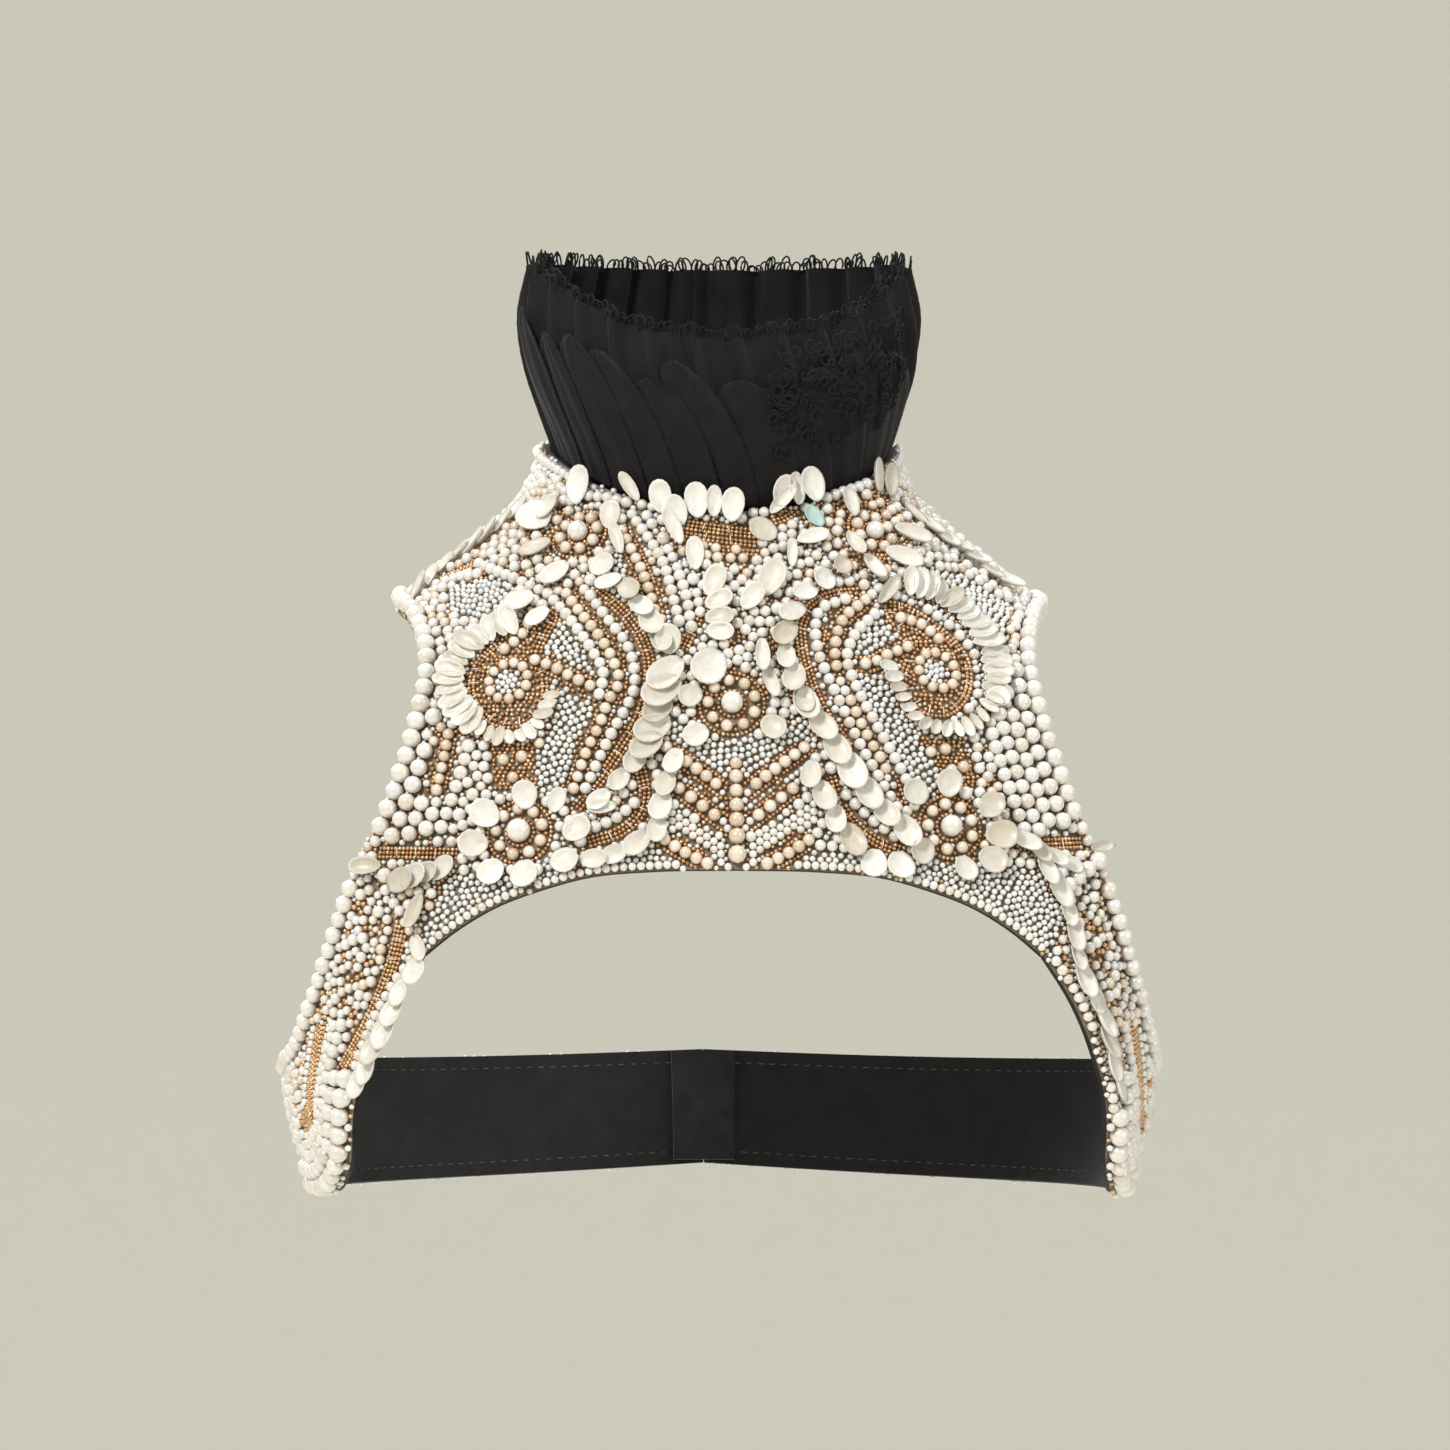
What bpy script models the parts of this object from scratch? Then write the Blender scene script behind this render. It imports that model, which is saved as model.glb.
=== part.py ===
"""Beaded halter neckpiece: a yoke, side and back bands and a pleated black collar.

The frame is metres with +Z up. The wearer looks along -Y, and +X is the wearer's left.
The origin is the centre of the neck, level with the neck-shoulder points.
Sizes below are millimetres and degrees, and each mesh is scaled to metres at the end.
"""
from collections import namedtuple
import math

import bmesh
import bpy
from mathutils import Vector
from mathutils.geometry import delaunay_2d_cdt
import numpy as np

MM = 0.001

# Driving sizes of the cloth
WALL = 2.0
SEAM_GAP = 0.3
OUTER_GRID = 8.0
INNER_GRID = 12.0
BACK_GRID = 6.8
EDGE_STEP = 7.0
EDGE_CLEARANCE = 0.45

# How finely curves and slopes are read
CURVE_SAMPLES = 12
ROUND_SAMPLES = 40
TURN_STEP = 0.001
LIFT_STEP = 0.05
EDGE_SHARE = 0.55
RELIEF_SHARE = 0.3
SHARP_ANGLE = 50
SLIVER = 0.00001

# The general figure: level sections from the neck to below the bust
Section = namedtuple("Section", "height half_width front_depth back_depth power")
SECTIONS = (
    Section(44, 60.0, 50.0, 58.0, 2.00),
    Section(24, 60.6, 51.0, 59.0, 2.00),
    Section(10, 63.0, 53.0, 62.0, 2.00),
    Section(0, 69.5, 56.5, 67.0, 1.95),
    Section(-10, 81.0, 62.0, 74.0, 1.88),
    Section(-22, 96.0, 68.5, 82.0, 1.80),
    Section(-34, 110.5, 75.0, 90.0, 1.76),
    Section(-48, 126.0, 80.5, 96.0, 1.80),
    Section(-66, 140.0, 86.0, 101.0, 1.92),
    Section(-88, 147.5, 91.0, 105.0, 2.10),
    Section(-112, 149.5, 96.5, 107.0, 2.25),
    Section(-132, 149.3, 101.5, 107.0, 2.30),
    Section(-156, 148.2, 109.0, 105.0, 2.30),
    Section(-186, 147.4, 116.0, 100.0, 2.30),
    Section(-204, 146.4, 118.5, 97.0, 2.30),
    Section(-222, 141.5, 118.5, 95.0, 2.30),
    Section(-244, 132.0, 115.0, 93.0, 2.30),
)

# Edges are given as seen from the front, or by the angle round from the centre front
FrontEdge = namedtuple("FrontEdge", "half_width height")
RoundEdge = namedtuple("RoundEdge", "angle height")
NECKLINE_TOP = 22.0
SHOULDER_TIP = -34.0
ARMHOLE = (
    FrontEdge(110.5, SHOULDER_TIP),
    FrontEdge(107.0, -42.0),
    FrontEdge(104.0, -54.0),
    FrontEdge(105.0, -66.0),
    FrontEdge(108.5, -80.0),
    FrontEdge(113.5, -96.0),
    FrontEdge(119.0, -111.0),
    FrontEdge(125.0, -122.0),
)
HEM = (
    FrontEdge(0.0, -128.0),
    FrontEdge(28.0, -128.5),
    FrontEdge(50.0, -130.5),
    FrontEdge(65.0, -134.5),
    FrontEdge(80.0, -140.0),
    FrontEdge(93.0, -147.5),
    FrontEdge(104.5, -156.5),
)

# Edges that run round the figure
NECKLINE = (
    RoundEdge(0, -5.0),
    RoundEdge(25, -2.0),
    RoundEdge(50, 6.5),
    RoundEdge(72, 16.0),
    RoundEdge(90, NECKLINE_TOP),
    RoundEdge(130, 26.0),
    RoundEdge(180, 27.0),
)
BACK_HEM = (
    RoundEdge(90, SHOULDER_TIP),
    RoundEdge(106, -35.5),
    RoundEdge(125, -42.0),
    RoundEdge(150, -50.0),
    RoundEdge(180, -54.0),
)

# The strap edges turn from the front view to the angle round the side
STRAP_TOP = (
    FrontEdge(125.0, -122.0),
    FrontEdge(132.0, -142.0),
    FrontEdge(138.5, -164.0),
    FrontEdge(143.5, -180.0),
)
STRAP_LOW = (
    FrontEdge(104.5, -156.5),
    FrontEdge(115.0, -172.0),
    FrontEdge(123.0, -190.0),
    FrontEdge(127.5, -209.0),
    FrontEdge(128.0, -225.0),
)
STRAP_CORNER = RoundEdge(72, -233.5)

# The band's seams at the side and at the centre back
SIDE_TOP = -189.0
SIDE_LOW = -234.5
BAND_TOP = (
    RoundEdge(90, SIDE_TOP),
    RoundEdge(135, -187.0),
    RoundEdge(180, -184.0),
)
BAND_LOW = (
    RoundEdge(90, SIDE_LOW),
    RoundEdge(135, -229.0),
    RoundEdge(180, -224.0),
)

# The pleated collar, from its tucked-in hem to its free edge
CollarRow = namedtuple("CollarRow", "share flare pleat")
COLLAR_TUCK = 9.0
COLLAR_ROWS = (
    CollarRow(0.00, 0.0, 2.2),
    CollarRow(0.20, 4.6, 3.0),
    CollarRow(0.44, 9.6, 3.8),
    CollarRow(0.72, 11.4, 4.6),
    CollarRow(1.00, 8.6, 5.2),
)
COLLAR_TOP = (
    RoundEdge(0, 54.0),
    RoundEdge(35, 60.0),
    RoundEdge(65, 75.0),
    RoundEdge(90, 85.0),
    RoundEdge(130, 89.0),
    RoundEdge(180, 90.0),
)
COLLAR_WALL = 1.3
PLEATS = 26
POINTS_PER_PLEAT = 7
PLEAT_SKEW = 0.12
PLEAT_LEAN = 0.9

# The underlaps behind the centre-back opening
UNDERLAP_WIDTH = 22.0
UNDERLAP_WALL = 1.2
UNDERLAP_GAP = 0.7
UNDERLAP_INSET = 3.0
UNDERLAP_COLUMNS = 7

# Large pearls: diameters, and how they sit
Pearl = namedtuple("Pearl", "diameter spacing")
EDGE_PEARL = Pearl(5.4, 6.5)
STRAP_PEARL = Pearl(6.2, 7.4)
ROSETTE_PEARL = Pearl(8.0, 8.0)
PEARL_SIDES = 6
PEARL_TOP = 0.82
PEARL_SHOULDER = 0.62
PEARL_SHOULDER_WIDTH = 0.78
EDGE_PEARL_COLUMNS = 2
STRAP_PEARL_COLUMNS = 4
STRAP_PEARL_START = 60.0

# Raised embroidery on the yoke, at its places on the front view, left and right
Motif = namedtuple("Motif", "across height")
ROSETTES = (
    Motif(-72.0, -114.5),
    Motif(72.0, -113.0),
    Motif(-49.0, -13.0),
    Motif(48.0, -13.0),
    Motif(0.0, -72.0),
)
PAISLEYS = (
    Motif(-75.0, -64.0),
    Motif(69.0, -60.5),
)
SCROLL_RIGHT = (
    Motif(-46.0, -39.0),
    Motif(-35.5, -59.0),
    Motif(-35.5, -72.0),
    Motif(-42.0, -87.0),
    Motif(-53.0, -103.0),
)
SCROLL_LEFT = (
    Motif(26.0, -37.0),
    Motif(27.5, -61.0),
    Motif(34.5, -73.0),
    Motif(42.0, -89.0),
    Motif(50.5, -105.0),
)
RingRow = namedtuple("RingRow", "radius rise")
ROSETTE_RINGS = (RingRow(7.6, 1.7), RingRow(12.5, 0.9))
PAISLEY_RINGS = (RingRow(4.5, 0.6), RingRow(9.5, 2.0), RingRow(14.5, 0.7))
RING_POINTS = 9
SCROLL_HALF_WIDTH = 4.2
SCROLL_RISE = 1.8
SCROLL_EDGE_RISE = 0.2
SCROLL_MARGIN = 0.5
DISC_MARGIN = 1.0
SCROLL_STEP = 8.0

# Colour, roughness and metallic value of each material
Finish = namedtuple("Finish", "colour roughness metallic")
PEARL_CLOTH = Finish((0.80, 0.76, 0.66), 0.35, 0.0)
PLAIN_CLOTH = Finish((0.70, 0.67, 0.60), 0.45, 0.0)
BLACK_CLOTH = Finish((0.016, 0.013, 0.014), 0.75, 0.0)
BLACK_TAPE = Finish((0.012, 0.012, 0.013), 0.85, 0.0)


def clear_scene():
    """Remove whatever the scene holds."""
    for item in list(bpy.data.objects):
        bpy.data.objects.remove(item, do_unlink=True)


def smooth_read(places, values, wanted):
    """Read smooth curves through rows: places rise, and values has a column for each curve."""
    wanted = np.clip(wanted, places[0], places[-1])
    slopes = np.gradient(values, places, axis=0)
    row = np.clip(np.searchsorted(places, wanted, side="right") - 1, 0, len(places) - 2)
    span = (places[row + 1] - places[row])[:, None]
    part = ((wanted - places[row]) / span[:, 0])[:, None]
    start = (1 + 2 * part) * (1 - part) ** 2 * values[row]
    end = part ** 2 * (3 - 2 * part) * values[row + 1]
    lean_start = part * (1 - part) ** 2 * span * slopes[row]
    lean_end = part ** 2 * (part - 1) * span * slopes[row + 1]
    return start + end + lean_start + lean_end


def sections_at(heights):
    """The figure's sections at any heights, as rows of half width, depths and power."""
    table = np.array(SECTIONS[::-1])
    return smooth_read(table[:, 0], table[:, 1:], np.asarray(heights, dtype=float))


def body_points(places):
    """Points of the figure at rows of (angle in radians, height)."""
    places = np.atleast_2d(places)
    angle = places[:, 0]
    half_width, front, back, power = sections_at(places[:, 1]).T
    depth = np.where(np.cos(angle) >= 0, front, back)
    across = (np.abs(np.sin(angle)) / half_width) ** power
    along = (np.abs(np.cos(angle)) / depth) ** power
    reach = (across + along) ** (-1 / power)
    return np.column_stack((reach * np.sin(angle), -reach * np.cos(angle), places[:, 1]))


def slopes_at(places):
    """How the figure's points move with the angle and with the height."""
    places = np.atleast_2d(places)
    turn = np.array((TURN_STEP, 0.0))
    lift = np.array((0.0, LIFT_STEP))
    by_angle = (body_points(places + turn) - body_points(places - turn)) / (2 * TURN_STEP)
    by_height = (body_points(places + lift) - body_points(places - lift)) / (2 * LIFT_STEP)
    return by_angle, by_height


def normals_at(places):
    """Outward unit normals of the figure."""
    by_angle, by_height = slopes_at(places)
    normals = np.cross(by_angle, by_height)
    return normals / np.linalg.norm(normals, axis=1)[:, None]


def moved(place, right, up):
    """The place that lies right and up of a place, in millimetres along the cloth."""
    by_angle, by_height = slopes_at(place)
    level = by_angle[0] / np.linalg.norm(by_angle[0])
    normal = np.cross(by_angle[0], by_height[0])
    rise = np.cross(normal / np.linalg.norm(normal), level)
    jacobian = np.column_stack((by_angle[0], by_height[0]))
    step = np.linalg.lstsq(jacobian, right * level + up * rise, rcond=None)[0]
    return np.asarray(place, dtype=float) + step


def front_place(across, height):
    """The place on the front of the figure that shows at this spot of the front view."""
    half_width, front, _, power = sections_at([height])[0]
    share = min(abs(across) / half_width, 1.0)
    depth = front * (1 - share ** power) ** (1 / power)
    return np.array((math.atan2(across, depth), height))


def front_places(rows):
    """Places for a table of front-view rows."""
    return np.array([front_place(row.half_width, row.height) for row in rows])


def round_height(rows, angles):
    """Heights of an edge that runs round the figure, at angles in radians."""
    table = np.array(rows, dtype=float)
    turns = np.degrees(np.abs(np.asarray(angles, dtype=float)))
    return smooth_read(table[:, 0], table[:, 1:], turns)[:, 0]


def edge_lengths(places):
    """Length along the cloth from the first place to each place."""
    steps = np.linalg.norm(np.diff(body_points(places), axis=0), axis=1)
    return np.concatenate(((0.0,), np.cumsum(steps)))


def resampled(places, step):
    """A smooth run of places through the given ones, about one step apart."""
    places = np.asarray(places, dtype=float)
    lengths = edge_lengths(places)
    fine = smooth_read(lengths, places, np.linspace(0, lengths[-1], CURVE_SAMPLES * len(places)))
    lengths = edge_lengths(fine)
    count = max(1, round(lengths[-1] / step))
    wanted = np.linspace(0, lengths[-1], count + 1)
    return np.column_stack([np.interp(wanted, lengths, fine[:, column]) for column in (0, 1)])


def round_edge(rows, start, end, step=EDGE_STEP):
    """Places along an edge that runs round the figure, between two angles in degrees."""
    angles = np.radians(np.linspace(start, end, ROUND_SAMPLES))
    return resampled(np.column_stack((angles, round_height(rows, angles))), step)


def inward(places, distance):
    """A run of places moved to the left of its direction, by a distance along the cloth."""
    points = body_points(places)
    along = np.gradient(points, axis=0)
    across = np.cross(normals_at(places), along)
    across = across / np.linalg.norm(across, axis=1)[:, None] * distance
    by_angle, by_height = slopes_at(places)
    shifted = []
    for place, turn, lift, step in zip(places, by_angle, by_height, across):
        move = np.linalg.lstsq(np.column_stack((turn, lift)), step, rcond=None)[0]
        shifted.append(place + move)
    return np.array(shifted)


def joined(*runs):
    """One closed outline from runs that follow on from each other."""
    outline = []
    for run in runs:
        outline.extend(np.asarray(run)[:-1])
    return np.array(outline)


def side_gap(height):
    """Half the seam gap as an angle, at the side of the figure."""
    return SEAM_GAP / 2 / sections_at([height])[0][0]


def back_gap(height):
    """Half the seam gap as an angle, at the centre back."""
    return SEAM_GAP / 2 / sections_at([height])[0][2]


def vertical_edge(angle, start, end, gap_at, sign):
    """A seam edge at one angle, set back from the seam by half its gap."""
    count = max(1, round(abs(end - start) / EDGE_STEP))
    heights = np.linspace(start, end, count + 1)
    return np.array([(angle + sign * gap_at(height), height) for height in heights])


def corner_seam(shift):
    """The seam between the yoke and the strap, from the hem to the armhole."""
    low = front_place(*HEM[-1])
    top = front_place(*ARMHOLE[-1])
    run = resampled(np.linspace(low, top, 4), EDGE_STEP)
    return inward(run, shift)


def mirrored(places):
    """The same run on the other side, in the opposite order."""
    return np.asarray(places)[::-1] * np.array((-1.0, 1.0))


def yoke_outline():
    """The front yoke, anticlockwise as seen from outside, from the centre of the hem."""
    side = math.radians(90)
    hem = resampled(front_places(HEM), EDGE_STEP)
    seam = corner_seam(SEAM_GAP / 2)
    armhole = resampled(front_places(ARMHOLE), EDGE_STEP)[::-1]
    ridge = vertical_edge(side, SHOULDER_TIP, NECKLINE_TOP, side_gap, -1)
    neck = round_edge(NECKLINE, 90, 0)
    hem[-1] = seam[0]
    armhole[0] = seam[-1]
    armhole[-1] = ridge[0]
    neck[0] = ridge[-1]
    half = (hem, seam, armhole, ridge, neck)
    other = tuple(mirrored(run) for run in reversed(half))
    return joined(*half, *other)


def strap_edges():
    """Top and low edges of the side band, from the yoke to the side seam."""
    side_top = (math.radians(90) - side_gap(SIDE_TOP), SIDE_TOP)
    side_low = (math.radians(90) - side_gap(SIDE_LOW), SIDE_LOW)
    near_low = (math.radians(STRAP_CORNER.angle), STRAP_CORNER.height)
    top = resampled(np.vstack((front_places(STRAP_TOP), side_top)), EDGE_STEP)
    low = resampled(np.vstack((front_places(STRAP_LOW), near_low, side_low)), EDGE_STEP)
    return top, low


def side_band_outline():
    """The left side band, anticlockwise as seen from outside."""
    top, low = strap_edges()
    seam = corner_seam(-SEAM_GAP / 2)[::-1]
    side = vertical_edge(math.radians(90), SIDE_LOW, SIDE_TOP, side_gap, -1)
    top = top[::-1]
    top[0] = side[-1]
    top[-1] = seam[0]
    low[0] = seam[-1]
    low[-1] = side[0]
    return joined(seam, low, side, top)


def back_band_outline():
    """The left back band, anticlockwise as seen from outside."""
    top = round_edge(BAND_TOP, 180, 90)
    low = round_edge(BAND_LOW, 90, 180)
    side = vertical_edge(math.radians(90), SIDE_TOP, SIDE_LOW, side_gap, 1)
    back = vertical_edge(math.radians(180), BAND_LOW[-1].height, BAND_TOP[-1].height, back_gap, -1)
    return closed_by_edges(side, low, back, top)


def back_yoke_outline():
    """The left back yoke, anticlockwise as seen from outside."""
    top = round_edge(NECKLINE, 180, 90)
    low = round_edge(BACK_HEM, 90, 180)
    neck_back = NECKLINE[-1].height
    hem_back = BACK_HEM[-1].height
    side = vertical_edge(math.radians(90), NECKLINE_TOP, SHOULDER_TIP, side_gap, 1)
    back = vertical_edge(math.radians(180), hem_back, neck_back, back_gap, -1)
    return closed_by_edges(side, low, back, top)


def closed_by_edges(side, low, back, top):
    """An outline whose low and top runs end on its two seam edges."""
    low[0] = side[-1]
    low[-1] = back[0]
    top[0] = back[-1]
    top[-1] = side[0]
    return joined(side, low, back, top)


class Relief:
    """Raised points of a panel's outer face, and the circles that they take up."""

    def __init__(self):
        self.points = []
        self.circles = []

    def is_free(self, place, radius):
        """Whether a circle on the cloth is clear of all circles so far."""
        if not self.circles:
            return True
        centre = body_points(place)[0]
        taken = np.array(self.circles)
        gaps = np.linalg.norm(taken[:, :3] - centre, axis=1) - taken[:, 3] - radius
        return bool(gaps.min() > 0)

    def take(self, place, radius):
        """Mark a circle as taken."""
        self.circles.append((*body_points(place)[0], radius))

    def ring(self, centre, radius, rise, count, turn=0.0):
        """Add a ring of raised points round a place."""
        for step in range(count):
            angle = 2 * math.pi * step / count + turn
            place = moved(centre, radius * math.cos(angle), radius * math.sin(angle))
            self.points.append((*place, rise))

    def pearl(self, centre, diameter, base=0.0):
        """Add one large pearl, if there is room for it."""
        radius = diameter / 2
        if not self.is_free(centre, radius):
            return
        shoulder = PEARL_SHOULDER * diameter
        self.ring(centre, radius, base, PEARL_SIDES)
        self.ring(centre, PEARL_SHOULDER_WIDTH * radius, base + shoulder, PEARL_SIDES)
        self.points.append((*centre, base + PEARL_TOP * diameter))
        self.take(centre, radius)

    def disc(self, centre, rings, top):
        """Add a round motif from its rings, with a raised middle point if top is given."""
        for number, row in enumerate(rings):
            self.ring(centre, row.radius, row.rise, RING_POINTS, number * math.pi / RING_POINTS)
        if top is not None:
            self.points.append((*centre, top))
        self.take(centre, rings[-1].radius + DISC_MARGIN)

    def scroll(self, run):
        """Add a raised cord-like band along a run of places."""
        left = inward(run, SCROLL_HALF_WIDTH)
        right = inward(run, -SCROLL_HALF_WIDTH)
        for middle, one, other in zip(run, left, right):
            if not self.is_free(middle, SCROLL_MARGIN):
                continue
            self.points.append((*middle, SCROLL_RISE))
            self.points.append((*one, SCROLL_EDGE_RISE))
            self.points.append((*other, SCROLL_EDGE_RISE))
        for middle in run:
            self.take(middle, SCROLL_HALF_WIDTH + SCROLL_MARGIN)


def rosette(relief, centre):
    """A large pearl in a raised disc of gold pearls and petals."""
    radius = ROSETTE_PEARL.diameter / 2
    base = ROSETTE_RINGS[0].rise
    relief.ring(centre, radius, base, PEARL_SIDES)
    shoulder = base + PEARL_SHOULDER * ROSETTE_PEARL.diameter
    relief.ring(centre, PEARL_SHOULDER_WIDTH * radius, shoulder, PEARL_SIDES)
    relief.disc(centre, ROSETTE_RINGS, base + PEARL_TOP * ROSETTE_PEARL.diameter)


def pearl_rows(relief, run, pearl, columns, first):
    """Rows of large pearls side by side along a run of places, to its left."""
    for column in range(columns):
        distance = first + column * pearl.spacing
        offset_run = resampled(inward(run, distance), pearl.spacing)
        for place in offset_run[1:-1]:
            relief.pearl(place, pearl.diameter)


def yoke_relief():
    """Raised embroidery of the front yoke."""
    relief = Relief()
    for spot in ROSETTES:
        rosette(relief, front_place(spot.across, spot.height))
    for spot in PAISLEYS:
        relief.disc(front_place(spot.across, spot.height), PAISLEY_RINGS, None)
    for spots in (SCROLL_RIGHT, SCROLL_LEFT):
        places = np.array([front_place(spot.across, spot.height) for spot in spots])
        relief.scroll(resampled(places, SCROLL_STEP))
    armhole = resampled(front_places(ARMHOLE), EDGE_STEP)
    first = EDGE_PEARL.diameter / 2 + EDGE_CLEARANCE
    for run in (armhole[::-1], armhole * np.array((-1.0, 1.0))):
        pearl_rows(relief, run, EDGE_PEARL, EDGE_PEARL_COLUMNS, first)
    return relief


def side_band_relief():
    """Large pearls on the lower part of the side band, and along its armhole edge."""
    relief = Relief()
    top, low = strap_edges()
    first = STRAP_PEARL.diameter / 2 + EDGE_CLEARANCE
    start = math.radians(STRAP_PEARL_START)
    lower = low[low[:, 0] > start]
    pearl_rows(relief, lower, STRAP_PEARL, STRAP_PEARL_COLUMNS, first)
    upper = top[::-1]
    pearl_rows(relief, upper, EDGE_PEARL, 1, first)
    return relief


def flat_place(places):
    """Places as a flat drawing, for cutting them into triangles."""
    places = np.atleast_2d(places)
    table = sections_at(places[:, 1])
    return np.column_stack((places[:, 0] * (table[:, 0] + table[:, 1]) / 2, places[:, 1]))


def unflat_place(flat):
    """Places from points of the flat drawing."""
    table = sections_at(flat[:, 1])
    return np.column_stack((flat[:, 0] / ((table[:, 0] + table[:, 1]) / 2), flat[:, 1]))


def inside(points, outline):
    """Which flat points lie inside a flat outline."""
    result = np.zeros(len(points), dtype=bool)
    for start, end in zip(outline, np.roll(outline, -1, axis=0)):
        spans = (start[1] > points[:, 1]) != (end[1] > points[:, 1])
        rise = end[1] - start[1]
        if rise == 0:
            continue
        crossing = start[0] + (points[:, 1] - start[1]) * (end[0] - start[0]) / rise
        result ^= spans & (points[:, 0] < crossing)
    return result


def nearest_gap(points, others):
    """Distance from each point to the nearest of the others."""
    gaps = np.linalg.norm(points[:, None, :] - others[None, :, :], axis=2)
    return gaps.min(axis=1)


def grid_inside(outline, spacing, relief):
    """Grid places inside an outline, clear of its edge and of the relief."""
    flat = flat_place(outline)
    low = flat.min(axis=0)
    high = flat.max(axis=0)
    row_step = spacing * math.sqrt(3) / 2
    points = []
    for row in range(int((high[1] - low[1]) / row_step) + 1):
        shift = spacing / 2 * (row % 2)
        for column in range(int((high[0] - low[0]) / spacing) + 1):
            points.append((low[0] + shift + column * spacing, low[1] + row * row_step))
    points = np.array(points)
    points = points[inside(points, flat)]
    if not len(points):
        return points
    places = unflat_place(points)
    on_body = body_points(places)
    free = nearest_gap(on_body, body_points(outline)) > EDGE_SHARE * spacing
    if relief and relief.circles:
        taken = np.array(relief.circles)
        gaps = np.linalg.norm(on_body[:, None, :] - taken[None, :, :3], axis=2) - taken[None, :, 3]
        free &= gaps.min(axis=1) > RELIEF_SHARE * spacing
    return places[free]


def triangles(places, edge_count):
    """Triangles between places, whose first edge_count ones are the outline."""
    flat = [Vector(point) for point in flat_place(places)]
    edges = [(index, (index + 1) % edge_count) for index in range(edge_count)]
    result = delaunay_2d_cdt(flat, edges, [], 1, SLIVER)
    if len(result[0]) != len(flat):
        raise ValueError("the places of a panel lie on each other")
    source = [origin[0] for origin in result[3]]
    return [[source[index] for index in face] for face in result[2]]


def panel_mesh(name, outline, relief=None, inner_spacing=INNER_GRID):
    """One closed panel: a relief on the outer face, a plain inner face, and edges between."""
    count = len(outline)
    outer_grid = grid_inside(outline, OUTER_GRID, relief)
    inner_grid = grid_inside(outline, inner_spacing, None)
    raised = np.array(relief.points) if relief and relief.points else np.zeros((0, 3))
    outer = np.vstack((outline, outer_grid.reshape(-1, 2), raised[:, :2]))
    rises = np.concatenate((np.zeros(len(outer) - len(raised)), raised[:, 2]))
    inner = np.vstack((outline, inner_grid.reshape(-1, 2)))
    outer_points = body_points(outer) + normals_at(outer) * rises[:, None]
    inner_points = body_points(inner) - normals_at(inner) * WALL
    faces = [tuple(face) for face in triangles(outer, count)]
    shift = len(outer)
    faces += [tuple(shift + index for index in reversed(face)) for face in triangles(inner, count)]
    for index in range(count):
        following = (index + 1) % count
        faces.append((index, shift + index, shift + following))
        faces.append((index, shift + following, following))
    return new_mesh(name, np.vstack((outer_points, inner_points)), faces)


def new_mesh(name, points, faces):
    """A mesh in metres from points in millimetres, with its faces turned outward."""
    mesh = bpy.data.meshes.new(name)
    mesh.from_pydata((points * MM).tolist(), [], faces)
    form = bmesh.new()
    form.from_mesh(mesh)
    bmesh.ops.recalc_face_normals(form, faces=form.faces)
    form.to_mesh(mesh)
    form.free()
    mesh.shade_smooth()
    mesh.set_sharp_from_angle(angle=math.radians(SHARP_ANGLE))
    return mesh


def new_object(name, mesh, material):
    """A named object in the scene, with its material."""
    mesh.materials.append(material)
    item = bpy.data.objects.new(name, mesh)
    bpy.context.scene.collection.objects.link(item)
    return item


def new_material(name, finish):
    """A Principled material."""
    material = bpy.data.materials.new(name)
    material.use_nodes = True
    shader = material.node_tree.nodes["Principled BSDF"]
    shader.inputs["Base Color"].default_value = (*finish.colour, 1.0)
    shader.inputs["Roughness"].default_value = finish.roughness
    shader.inputs["Metallic"].default_value = finish.metallic
    material.diffuse_color = (*finish.colour, 1.0)
    return material


def add_pair(name, mesh, material):
    """A left piece and its mirror image on the right."""
    new_object(name + "_left", mesh, material)
    other = mesh.copy()
    other.name = name + "_right"
    for vertex in other.vertices:
        vertex.co.x = -vertex.co.x
    other.flip_normals()
    new_object(name + "_right", other, material)


def pleat_wave(turns):
    """Depth of a soft knife pleat, 0 at its crest and 1 in its trough."""
    turns = turns + PLEAT_SKEW * np.sin(2 * math.pi * turns)
    return 0.5 - 0.5 * np.cos(2 * math.pi * turns)


def collar_row(angles, height, share, flare, pleat):
    """Outer points of one row of the collar, from its crest line and its pleats."""
    necks = round_height(NECKLINE, angles)
    base = body_points(np.column_stack((angles, necks)))
    outward = normals_at(np.column_stack((angles, np.full_like(angles, SECTIONS[0].height))))
    outward[:, 2] = 0
    outward /= np.linalg.norm(outward, axis=1)[:, None]
    turns = angles / (2 * math.pi) * PLEATS + PLEAT_LEAN * share * np.cos(angles / 2)
    inset = WALL + SEAM_GAP + pleat * pleat_wave(turns)
    points = base + outward * (flare - inset)[:, None]
    points[:, 2] = height
    return points, outward


def collar_mesh(name):
    """The pleated collar: one strip round the neck, open at the centre back."""
    end = math.pi - back_gap(NECKLINE[-1].height) * 2
    angles = np.linspace(-end, end, PLEATS * POINTS_PER_PLEAT + 1)
    necks = round_height(NECKLINE, angles)
    tops = round_height(COLLAR_TOP, angles)
    hem_row = CollarRow(0.0, COLLAR_ROWS[0].flare, COLLAR_ROWS[0].pleat)
    rows = [collar_row(angles, necks - COLLAR_TUCK, *hem_row)]
    for row in COLLAR_ROWS:
        rows.append(collar_row(angles, necks + row.share * (tops - necks), *row))
    outer = [points for points, _ in rows]
    inner = [points - outward * COLLAR_WALL for points, outward in rows]
    return strip_mesh(name, np.array(outer), np.array(inner))


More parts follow.
